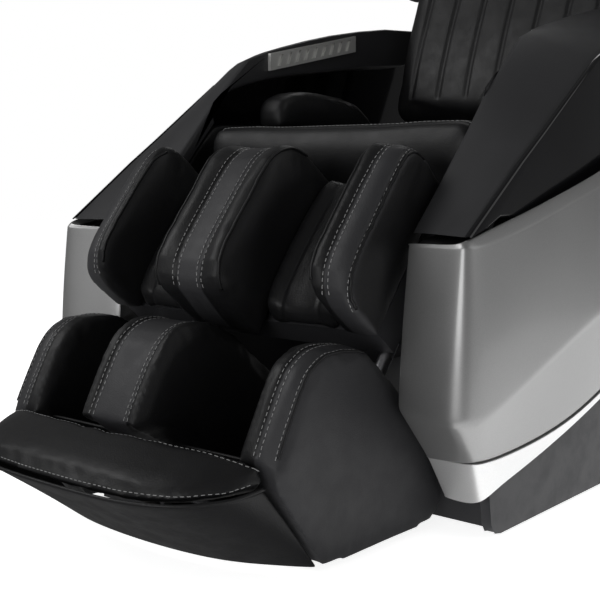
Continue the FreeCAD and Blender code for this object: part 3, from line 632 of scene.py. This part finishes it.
def stitches(name, thing, lines, body, pitch=7.5, long=4.6, round_=0.55):
    """Rows of short thread dashes laid on a pad."""
    deselect()
    bpy.ops.mesh.primitive_cylinder_add(vertices=6, radius=round_ * MM, depth=long * MM)
    dash = bpy.context.object
    dash.name = name
    finish_with(dash, ("BEVEL", {"width": 0.35 * MM, "segments": 1}))
    corners = np.array([vertex.co for vertex in dash.data.vertices])
    faces = [tuple(face.vertices) for face in dash.data.polygons]
    places, shapes = [], []
    for line in lines:
        spots, normals = settle(thing, evenly(line, pitch))
        for i, (spot, up) in enumerate(zip(spots, normals)):
            along = (spots[min(i + 1, len(spots) - 1)] - spots[max(i - 1, 0)]).normalized()
            side = up.cross(along).normalized()
            turn = np.array([side, along.cross(side), along]).T
            start = len(places) * len(corners)
            places.append(corners @ turn.T + np.array(spot + up * 0.25 * MM))
            shapes += [tuple(start + k for k in face) for face in faces]
    dash.data.clear_geometry()
    dash.data.from_pydata(np.concatenate(places).tolist(), [], shapes)
    dash.data.update()
    return fit(dash, body, grey_thread, "black_leather")


def piping(name, thing, line, body, material, round_=2.0, sink=0.3):
    """A round leather cord sewn along an edge."""
    spots, normals = settle(thing, evenly(line, 4)) if thing else (evenly(line, 4), None)
    rows = []
    for i, spot in enumerate(spots):
        along = (spots[min(i + 1, len(spots) - 1)] - spots[max(i - 1, 0)]).normalized()
        up = normals[i] if normals else Vector((0, 0, 1))
        side = up.cross(along).normalized()
        up = along.cross(side)
        centre = spot + up * round_ * sink * MM
        rows.append([centre + (side * math.cos(a) + up * math.sin(a)) * round_ * MM
                     for a in (math.tau * k / 8 for k in range(8))])
    tube = skin(name, rows)
    deselect()
    tube.select_set(True)
    bpy.context.view_layer.objects.active = tube
    bpy.ops.object.shade_smooth()
    return fit(tube, body, material, "black_leather")


CALF_LEAN = math.radians(39)
CALF_HINGE = (189, 418)


def calf(x, behind, below):
    """A place on the calf unit: across, behind its face and below its top, all in millimetres."""
    back, up = behind - 110, 20 - below
    return at(x, CALF_HINGE[0] + back * math.cos(CALF_LEAN) + up * math.sin(CALF_LEAN),
              CALF_HINGE[1] - back * math.sin(CALF_LEAN) + up * math.cos(CALF_LEAN))


def crowned(outline, stations, where, front_of):
    """Rings for a pad: the outline at each x, its front moved out by a crown and its whole drawn in."""
    rows = []
    for x, crown, inset in stations:
        moved = [(a - crown * front_of(a, b), b) for a, b in outline]
        rows.append([where(x, a, b) for a, b in drawn_in(moved, inset)])
    return rows


def calf_front(behind, below):
    return max(0.0, min(1.0, (28 - behind) / 30))


MIDDLE_OUTLINE = [(94, 4), (66, 2), (38, 2), (14, 6), (-6, 17), (-20, 33), (-28, 55), (-30, 85), (-30, 120),
                  (-30, 155), (-29, 188), (-25, 215), (-14, 236), (4, 247), (34, 249), (66, 249), (94, 247),
                  (94, 170), (94, 90)]
middle_pad = skin("calf_middle_pad", crowned(
    MIDDLE_OUTLINE, [(-59, 6, 9), (-56, 8, 3), (-50, 9, 1), (-42, 8, 0), (-32, 4, 0), (-21, 0, 0),
                     (-10, 1, 0), (0, 1.5, 0), (10, 1, 0), (21, 0, 0), (32, 4, 0), (42, 8, 0), (50, 9, 1),
                     (56, 8, 3), (59, 6, 9)],
                     calf, calf_front))
STRIP_LINE = [(20, 4), (-6, 16), (-20, 32), (-29, 56), (-31, 90), (-31, 130), (-31, 170), (-29, 200),
              (-22, 224), (-8, 240)]
middle_seams = [[calf(x, a, b) for a, b in STRIP_LINE] for x in (-21, 21)]
calf_leather = paint("calf_pad_leather", leather([(0, 20), (203, 234)]),
                     Specular_IOR_Level=LEATHER_SPECULAR)
upholster(middle_pad, middle_seams, cap=8)
fit(middle_pad, "calf_unit", calf_leather, "black_leather", "calf_divider")
stitches("calf_middle_stitches", middle_pad,
         [[calf(x, a, b) for a, b in STRIP_LINE] for x in (-26, -16.5, 16.5, 26)], "calf_unit")
black_piping = paint("black_piping_leather", leather([], 0.4), Specular_IOR_Level=LEATHER_SPECULAR)
EDGE_LINE = [(20, 6), (-4, 16), (-22, 32), (-36, 56), (-40, 90), (-40, 130), (-40, 170), (-36, 202),
             (-24, 228), (-4, 244)]
for x, side in ((-58, "right"), (58, "left")):
    piping(f"calf_middle_piping_{side}", middle_pad, [calf(x, a, b) for a, b in EDGE_LINE], "calf_unit",
           black_piping)

WALL_OUTLINE = [(93, 3), (66, 2), (38, 1), (14, 4), (-2, 11), (-10, 24), (-14, 45), (-15, 80), (-15, 115),
                (-15, 150), (-14, 180), (-9, 203), (4, 222), (22, 230), (48, 231), (70, 231), (93, 229),
                (93, 160), (93, 80)]
outer_pad = skin("calf_outer_pad_left", crowned(
    WALL_OUTLINE, [(180.5, 5, 9), (183, 8, 3), (188, 9, 1), (195, 7, 0), (204, 0, 0), (212, 1, 0),
                   (220, 0, 0), (227, -3, 0), (232, -6, 1), (235, -9, 4)], calf, calf_front))
WALL_LINE = [(26, 3), (6, 7), (-5, 18), (-12, 40), (-15, 80), (-15, 130), (-14, 175), (-7, 204), (8, 224)]
RIM_LINE = [(30, 4), (12, 8), (2, 18), (-3, 38), (-4, 80), (-4, 130), (-3, 175), (3, 204), (16, 222),
            (34, 229)]
upholster(outer_pad, [[calf(204, a, b) for a, b in WALL_LINE], [calf(234, a, b) for a, b in RIM_LINE]],
          cap=7)
fit(outer_pad, "calf_unit", calf_leather, "black_leather", "calf_wall_left")
outer_pad_right = mirrored(outer_pad, "calf_outer_pad_right")
fit(outer_pad_right, "calf_unit", calf_leather, "black_leather", "calf_wall_right")
rows = ([[calf(x, a, b) for a, b in WALL_LINE] for x in (199, 208.5)]
        + [[calf(229.5, a, b) for a, b in RIM_LINE]])
seam_rows = stitches("calf_outer_stitches_left", outer_pad, rows, "calf_unit")
fit(mirrored(seam_rows, "calf_outer_stitches_right"), "calf_unit", grey_thread, "black_leather")
for n, (x, line) in enumerate(((235, RIM_LINE), (181.5, EDGE_LINE[2:-1]))):
    cord = piping(f"calf_outer_piping_{n}_left", outer_pad,
                  [calf(x, a + (14 if n else 0), b - (8 if n else 0)) for a, b in line], "calf_unit",
                  black_piping)
    fit(mirrored(cord, f"calf_outer_piping_{n}_right"), "calf_unit", black_piping, "black_leather")

WELL_OUTLINE = [(93, 9), (82, 8), (72, 14), (64, 34), (61, 70), (60, 110), (60, 150), (62, 190), (68, 216),
                (80, 226), (93, 226), (93, 160), (93, 80)]
well_black = paint("well_lining_leather", leather([], 0.36), Specular_IOR_Level=LEATHER_SPECULAR)
well_pad = skin("calf_well_cushion_left", crowned(
    WELL_OUTLINE, [(65, 6, 5), (68, 9, 1), (76, 8, 0), (90, 3, 0), (105, 0, 0), (120, -1, 0), (135, 0, 0),
                   (150, 3, 0), (164, 8, 0), (172, 9, 1),
                   (175, 6, 5)], calf, lambda a, b: 1.0 if a < 80 else 0.0))
upholster(well_pad, [[calf(x, a, b) for a, b in WELL_OUTLINE[2:10]] for x in (90, 150)], cap=5, groove=1.6)
fit(well_pad, "calf_unit", well_black, "black_fabric", "calf_well_pads")
well_pad_right = mirrored(well_pad, "calf_well_cushion_right")
fit(well_pad_right, "calf_unit", well_black, "black_fabric")

# ------------------------------------------------------------------------------------------------
# Foot unit. Two foot wells between leather pads, closed in front by a broad toe pad. Its sides and
# the apron under the toes are leather stretched over a moulded shell; it slides out on two rods.


def foot_front(y, z):
    """1 on the raked front and top of the foot unit, 0 on its underside and back."""
    return max(0.0, min(1.0, (z - 120) / 30)) * max(0.0, min(1.0, (30 - y) / 40))


def crowned_foot(outline, stations):
    """As for the calf pads, with the crown square to the raked front."""
    rows = []
    for x, crown, inset in stations:
        moved = [(y - crown * 0.62 * foot_front(y, z), z + crown * 0.78 * foot_front(y, z))
                 for y, z in outline]
        rows.append([at(x, y, z) for y, z in drawn_in(moved, inset)])
    return rows


FOOT_MIDDLE = [(128, 150), (60, 208), (22, 238), (4, 252), (-18, 264), (-40, 273), (-64, 279), (-86, 279),
               (-106, 272), (-124, 258), (-140, 236), (-154, 211), (-167, 188), (-176, 170), (-166, 160),
               (-130, 140), (-80, 104), (-20, 62), (20, 36), (80, 35), (138, 36), (134, 92)]
FOOT_STRIP = [(10, 248), (-20, 265), (-60, 278), (-88, 278), (-108, 270), (-126, 256), (-142, 232),
              (-156, 207), (-172, 176)]
foot_middle = skin("foot_middle_pad", crowned_foot(
    FOOT_MIDDLE, [(-49, 0, 8), (-46, 4, 3), (-40, 5, 0), (-31, 1, 0), (-20, 0, 0), (0, 0.5, 0), (20, 0, 0),
                  (31, 1, 0), (40, 5, 0), (46, 4, 3), (49, 0, 8)]))
foot_leather = paint("foot_pad_leather", leather([(0, 30), (206, 240)]),
                     Specular_IOR_Level=LEATHER_SPECULAR)
upholster(foot_middle, [[at(x, y, z) for y, z in FOOT_STRIP] for x in (-31, 31)], cap=5)
fit(foot_middle, "foot_unit", foot_leather, "black_leather", "foot_divider")
stitches("foot_middle_stitches", foot_middle,
         [[at(x, y, z) for y, z in FOOT_STRIP] for x in (-35.5, -27, 27, 35.5)], "foot_unit")

FOOT_SIDE = [(22, 253), (10, 259), (-4, 262), (-30, 264), (-54, 263), (-72, 256), (-89, 245), (-103, 226),
             (-115, 205), (-126, 185), (-136, 166), (-144, 148), (-143, 132), (-138, 118), (-116, 88),
             (-87, 50), (-60, 14), (-20, 12.5), (60, 12.5), (130, 12.5), (160, 14), (178, 28), (186, 40),
             (172, 82), (150, 140), (110, 176), (64, 218)]
SIDE_STRIP = [(14, 256), (-26, 264), (-56, 263), (-74, 255), (-90, 244), (-104, 225), (-116, 204),
              (-127, 184), (-140, 158)]
foot_side = skin("foot_side_pad_left", crowned_foot(
    FOOT_SIDE, [(181, 0, 8), (184, 4, 2.5), (190, 6, 0), (198, 6, 0), (207, 0, 0), (215, 2, 0), (223, 2, 0),
                (230, 0, 0), (234, -2, 1), (236.5, -4, 4.5)]))
upholster(foot_side, [[at(207, y, z) for y, z in SIDE_STRIP]], cap=3.5, groove=1.8)
fit(foot_side, "foot_unit", foot_leather, "black_leather", "foot_wall_left")
foot_side_right = mirrored(foot_side, "foot_side_pad_right")
fit(foot_side_right, "foot_unit", foot_leather, "black_leather", "foot_wall_right")
rows = ([[at(x, y, z) for y, z in SIDE_STRIP] for x in (202.5, 211.5)]
        + [[at(232, y, z) for y, z in SIDE_STRIP]])
side_rows = stitches("foot_side_stitches_left", foot_side, rows, "foot_unit")
fit(mirrored(side_rows, "foot_side_stitches_right"), "foot_unit", grey_thread, "black_leather")
cord = piping("foot_side_piping_left", foot_side, [at(237, y, z) for y, z in SIDE_STRIP], "foot_unit",
              black_piping, 1.7)
fit(mirrored(cord, "foot_side_piping_right"), "foot_unit", black_piping, "black_leather")

# the toe pad and the apron share one curved edge, drawn here from the sitter's right round to the left
TOE_EDGE = [(-226, -150, 126), (-224, -170, 124), (-216, -192, 121), (-202, -212, 119), (-184, -231, 117.5),
            (-160, -246, 117), (-130, -256.5, 116.5), (-95, -262.5, 116), (-50, -265.5, 116),
            (0, -266.5, 116)]
TOE_SEAM = [(-222, -146, 146), (-221, -148, 147), (-214, -152, 149), (-202, -157, 152), (-186, -162, 155),
            (-162, -168, 158), (-131, -174, 160), (-96, -180, 162), (-50, -184, 164), (0, -185, 165)]
APRON_FOOT = [(-226, -61, 12), (-223, -65, 12), (-214, -71, 12), (-200, -80, 12), (-180, -91, 12),
              (-156, -104, 12), (-126, -115, 12), (-92, -122, 12), (-48, -126.5, 12), (0, -128, 12)]


def both_ways(half):
    return half + [(-x, y, z) for x, y, z in reversed(half[:-1])]


def between(a, b, share, lift=0.0):
    """A place part of the way from one place to another, then raised."""
    x, y, z = part_way(a, b, share)
    return x, y, z + lift


plain_leather = paint("toe_and_apron_leather", leather([], 0.42), Specular_IOR_Level=LEATHER_SPECULAR)
toe_rows = []
for edge, seam in zip(both_ways(TOE_EDGE), both_ways(TOE_SEAM)):
    under = (edge[0] * 0.985, edge[1] + 5, edge[2] + 1)
    back = (seam[0] * 0.985, min(seam[1] + 6, -153), 118)
    ring = [between(edge, seam, share, lift)
            for share, lift in ((0.0, 3), (0.12, 7), (0.35, 7), (0.6, 5), (0.85, 2))]
    ring += [seam, (seam[0] * 0.99, min(seam[1] + 5, -152), seam[2] - 5), back,
             between(back, under, 0.5), under]
    toe_rows.append([at(*place) for place in ring])
toe = skin("toe_cushion", toe_rows)
upholster(toe, [], cap=5)
fit(toe, "foot_unit", plain_leather, "black_leather", "toe_pad")
TOE_STITCH = [between(edge, seam, 0.10, 4) for edge, seam in zip(both_ways(TOE_EDGE), both_ways(TOE_SEAM))]
SEAM_STITCH = [between(edge, seam, 0.93, 2) for edge, seam in zip(both_ways(TOE_EDGE), both_ways(TOE_SEAM))]
stitches("toe_stitches", toe, [[at(*p) for p in TOE_STITCH[1:-1]], [at(*p) for p in SEAM_STITCH[1:-1]]],
         "foot_unit")
piping("toe_piping", None, [at(x, y, z - 1) for x, y, z in both_ways(TOE_EDGE)], "foot_unit", black_piping,
       2.4, 0)

apron_rows = []
for edge, low in zip(both_ways(TOE_EDGE), both_ways(APRON_FOOT)):
    ring = []
    for share, hollow in ((0, 0), (0.04, 0), (0.25, -1.5), (0.5, -2.5), (0.75, -1.5), (0.96, 0), (1, 0)):
        x, y, z = between((edge[0], edge[1], edge[2] - 3), low, share)
        ring.append(at(x, y - hollow, z))
    apron_rows.append(ring)
apron = skin("foot_apron_leather", apron_rows, closed=False, caps=False)
finish_with(apron, ("SOLIDIFY", {"thickness": 4 * MM, "offset": -1}),
            ("SUBSURF", {"levels": 2, "render_levels": 2}))
smooth(apron, 60)
fit(apron, "foot_unit", plain_leather, "black_leather", "foot_apron")

sole_lining = paint("sole_lining_leather", leather([], 0.46), Specular_IOR_Level=LEATHER_SPECULAR)
sole = skin("sole_cushion_left", [[at(x, y, z) for y, z in drawn_in(
    [(-127, 139), (-122, 145), (-112, 139.5), (-80, 116), (-40, 88.5), (0, 60.5), (25, 42.5), (26, 39),
     (20, 32.5), (-30, 67), (-80, 103)], inset)]
    for x, inset in ((54, 2.5), (56, 0.6), (64, 0), (90, 0), (115, 0), (140, 0), (166, 0), (175, 0.6),
                     (177.5, 2.5))])
finish_with(sole, ("SUBSURF", {"levels": 2, "render_levels": 2}))
smooth(sole, 60)
fit(sole, "foot_unit", sole_lining, "black_fabric", "sole_plates")
fit(mirrored(sole, "sole_cushion_right"), "foot_unit", sole_lining, "black_fabric")
OVAL = [(112 + 38 * math.sin(t), -52 - 52 * math.cos(t), 108 + 37 * math.cos(t))
        for t in (math.tau * k / 24 for k in range(25))]
oval_rows = stitches("sole_stitches_left", sole, [[at(*p) for p in OVAL]], "foot_unit", pitch=8)
fit(mirrored(oval_rows, "sole_stitches_right"), "foot_unit", grey_thread, "black_leather")

# ------------------------------------------------------------------------------------------------
# Seat. One foam cushion under leather with a lip rolled over its front edge, and a firm bolster each
# side at the hips. It sits on a steel pan between the side plates; padded palm rests lie in the arms.
SEAT_OUTLINE = [(236, 444), (234, 470), (235, 505), (240, 522), (254, 528), (300, 527), (400, 524),
                (500, 521), (580, 516), (635, 511), (646, 500), (647, 440), (630, 416), (592, 385),
                (500, 384), (400, 384), (314, 384), (280, 408)]
seat_leather = paint("seat_leather", leather([], 0.42), Specular_IOR_Level=LEATHER_SPECULAR)


def across_seat(outline, stations):
    rows = []
    for x, crown, inset in stations:
        moved = [(y, z + (crown if z > 495 else 0)) for y, z in outline]
        rows.append([at(x, y, z) for y, z in drawn_in(moved, inset)])
    return rows


seat = skin("seat_cushion_leather", across_seat(SEAT_OUTLINE, [
    (-233, -4, 7), (-230, 0, 2), (-220, 2, 0), (-190, 2, 0), (-150, 2, 0), (-100, 0, 0), (-50, 0, 0),
    (0, 0, 0), (50, 0, 0), (100, 0, 0), (150, 2, 0), (190, 2, 0), (220, 2, 0), (230, 0, 2), (233, -4, 7)]))
LIP = [(-228, 250, 530), (-120, 250, 530), (0, 250, 530), (120, 250, 530), (228, 250, 530)]
SEAT_SIDES = [[(x, y, 528) for y in (262, 350, 450, 550, 630)] for x in (-150, 150)]
upholster(seat, [[at(*p) for p in LIP]] + [[at(*p) for p in line] for line in SEAT_SIDES], voxel=7, cap=6)
fit(seat, "cradle", seat_leather, "black_leather", "seat_cushion")
seat_rows = [[at(x, y + 6, z) for x, y, z in LIP]]
for line in SEAT_SIDES:
    seat_rows += [[at(x + aside, y, z) for x, y, z in line] for aside in (-5, 5)]
stitches("seat_stitches", seat, seat_rows, "cradle")
HIP_OUTLINE = [(346, 531), (341, 545), (342, 562), (352, 578), (378, 588), (415, 592), (460, 590),
               (510, 586), (552, 577), (585, 556), (600, 531), (560, 524), (500, 526), (430, 528)]
hip = skin("hip_bolster_left", [
    [at(x, y, z) for y, z in drawn_in(HIP_OUTLINE, inset)]
    for x, inset in ((180, 9), (184, 3), (192, 0), (205, 0), (218, 0), (227, 2), (231, 8))])
upholster(hip, [], cap=5)
fit(hip, "cradle", seat_leather, "black_leather", "hip_pads")
hip_right = mirrored(hip, "hip_bolster_right")
fit(hip_right, "cradle", seat_leather, "black_leather")
PALM_OUTLINE = [(76, 287), (75, 335), (76, 383), (107, 385), (137, 387), (180, 434), (224, 482), (266, 528),
                (278, 533), (292, 537), (440, 539), (600, 541), (750, 542), (897, 543), (899, 520),
                (897, 502), (750, 462), (600, 421), (450, 386), (302, 352), (250, 318), (200, 286)]
palm = skin("palm_rest_left", [
    [at(x, y, z) for y, z in drawn_in(PALM_OUTLINE, inset)]
    for x, inset in ((260.5, 5), (262, 1.5), (266, 0), (285, 0), (305, 0), (325, 0), (339, 0), (342, 1.5),
                     (343.5, 5))])
finish_with(palm, ("SUBSURF", {"levels": 2, "render_levels": 2}))
smooth(palm, 50)
palm_leather = paint("palm_leather", leather([], 0.45), Specular_IOR_Level=LEATHER_SPECULAR)
fit(palm, "cradle", palm_leather, "black_leather", "arm_pad_left")
palm_right = fit(mirrored(palm, "palm_rest_right"), "cradle", palm_leather, "black_leather",
                 "arm_pad_right")

# ------------------------------------------------------------------------------------------------
# Backrest. A foam pad with sewn upright channels and a crossing yoke seam hides the roller carriage;
# padded shoulder wings stand either side, a pillow lies at the top, and a shell closes the back.
BACK_LEAN = math.radians(20)
BACK_HINGE = (760, 470)


def back(x, behind, up):
    """A place on the backrest: across, behind its frame and above its hinge, in millimetres."""
    return at(x, BACK_HINGE[0] + behind * math.cos(BACK_LEAN) + up * math.sin(BACK_LEAN),
              BACK_HINGE[1] - behind * math.sin(BACK_LEAN) + up * math.cos(BACK_LEAN))


BACK_OUTLINE = [(-2, 61), (-40, 60), (-80, 62), (-98, 74), (-103, 100), (-106, 150), (-106, 210),
                (-103, 270), (-101, 340), (-101, 410), (-102, 480), (-102, 550), (-102, 620), (-101, 690),
                (-98, 730), (-84, 754), (-60, 767), (-30, 769), (-2, 768), (-2, 600), (-2, 400), (-2, 200)]
back_pad = skin("back_pad_leather", crowned(
    BACK_OUTLINE, [(-217, -6, 9), (-213, -1, 3), (-204, 2, 0), (-180, 3, 0), (-150, 2, 0), (-115, 0, 0),
                   (-75, -1, 0), (-40, -1, 0), (0, -1, 0), (40, -1, 0), (75, -1, 0), (115, 0, 0),
                   (150, 2, 0), (180, 3, 0), (204, 2, 0), (213, -1, 3),
                   (217, -6, 9)], back, lambda a, b: 1.0 if a < -60 else 0.0))
CHANNEL_ENDS = (95, 400)
channels = [[back(x, -104, up) for up in (CHANNEL_ENDS[0], 170, 250, 330, CHANNEL_ENDS[1])]
            for x in (-170, -114, -57, 0, 57, 114, 170)]
SEAM_STATIONS = (-205, -150, -100, -50, 0, 50, 100, 150, 205)
yoke = [back(x, -103, 400 + 26 * math.cos(x / 210 * math.pi / 2)) for x in SEAM_STATIONS]
collar = [back(x, -103, 560) for x in SEAM_STATIONS]
upholster(back_pad, channels + [yoke, collar], voxel=7, cap=11, groove=3.0)
back_leather = paint("back_leather", leather([], 0.44), Specular_IOR_Level=LEATHER_SPECULAR)
fit(back_pad, "backrest", back_leather, "black_leather", "back_pad")
above_seam = Vector((0, 0, 6 * MM))
back_rows = [[place + above_seam for place in line] for line in (yoke, collar)]
stitches("back_stitches", back_pad, back_rows, "backrest", pitch=8)

PILLOW_OUTLINE = [(-110, 552), (-130, 551), (-152, 558), (-163, 578), (-166, 610), (-167, 645), (-166, 680),
                  (-161, 708), (-148, 726), (-130, 733), (-110, 730), (-108, 690), (-108, 640), (-108, 590)]
pillow = skin("head_pillow_leather", [
    [back(x, a, b) for a, b in drawn_in(PILLOW_OUTLINE, inset)]
    for x, inset in ((-145, 16), (-140, 7), (-128, 2), (-100, 0), (-50, 0), (0, 0), (50, 0), (100, 0),
                     (128, 2), (140, 7), (145, 16))])
PILLOW_RIM = [(-146, -138, 560), (-100, -156, 565), (0, -163, 570), (100, -156, 565), (146, -138, 560)]
upholster(pillow, [[back(*p) for p in PILLOW_RIM]], cap=6)
fit(pillow, "backrest", seat_leather, "black_leather", "head_pillow")
stitches("pillow_stitches", pillow, [[back(x, a, b + 6) for x, a, b in PILLOW_RIM]], "backrest")

WING_OUTLINE = [(-186, 430), (-160, 382), (-130, 360), (-80, 353), (-20, 353), (24, 358), (48, 382),
                (66, 424), (69, 500), (69, 600), (69, 690), (64, 745), (40, 768), (10, 777), (-50, 778),
                (-106, 775), (-140, 758), (-168, 728), (-186, 690), (-196, 640), (-204, 570), (-206, 490),
                (-200, 455)]
wing = skin("shoulder_wing_leather_left", [
    [back(x, a, b) for a, b in drawn_in(WING_OUTLINE, inset)]
    for x, inset in ((228.5, 14), (231, 5), (238, 1), (252, 0), (270, 0), (288, 0), (301, 2), (308, 6),
                     (311, 15))])
WING_FRONT = [(-158, 386), (-186, 432), (-203, 490), (-204, 570), (-196, 640), (-184, 694), (-164, 732),
              (-138, 758)]
upholster(wing, [[back(270, a, b) for a, b in WING_FRONT]], voxel=6, cap=5)
wing_leather = paint("wing_leather", leather([(250, 290)], 0.42), Specular_IOR_Level=LEATHER_SPECULAR)
fit(wing, "backrest", wing_leather, "black_leather", "shoulder_wing_left")
wing_right = fit(mirrored(wing, "shoulder_wing_leather_right"), "backrest", wing_leather, "black_leather",
                 "shoulder_wing_right")
wing_rows = stitches("wing_stitches_left", wing,
                     [[back(x, a, b) for a, b in WING_FRONT] for x in (265, 275)], "backrest")
fit(mirrored(wing_rows, "wing_stitches_right"), "backrest", grey_thread, "black_leather")
COVER_OUTLINE = [(62, -58), (62, 780), (84, 786), (106, 784), (130, 760), (166, 680), (194, 590),
                 (212, 480), (222, 380), (223, 290), (212, 180), (190, 70), (160, 0), (124, -52),
                 (100, -58)]
COVER_STATIONS = [(-221.5, 26), (-221, 12), (-216, 4), (-205, 0), (-150, -1), (-70, -1.5), (0, -1.5),
                  (70, -1.5), (150, -1), (205, 0), (216, 4), (221, 12), (221.5, 26)]
cover_rows = []
for x, inset in COVER_STATIONS:
    cover_rows.append([back(x, max(a, 61), b) for a, b in drawn_in(COVER_OUTLINE, inset)])
cover = skin("back_cover", cover_rows)
finish_with(cover, ("BEVEL", {"width": 1 * MM, "segments": 1, "limit_method": "ANGLE"}))
smooth(cover, 40)
fit(cover, "backrest", arm_black, "charcoal", "back_shell")
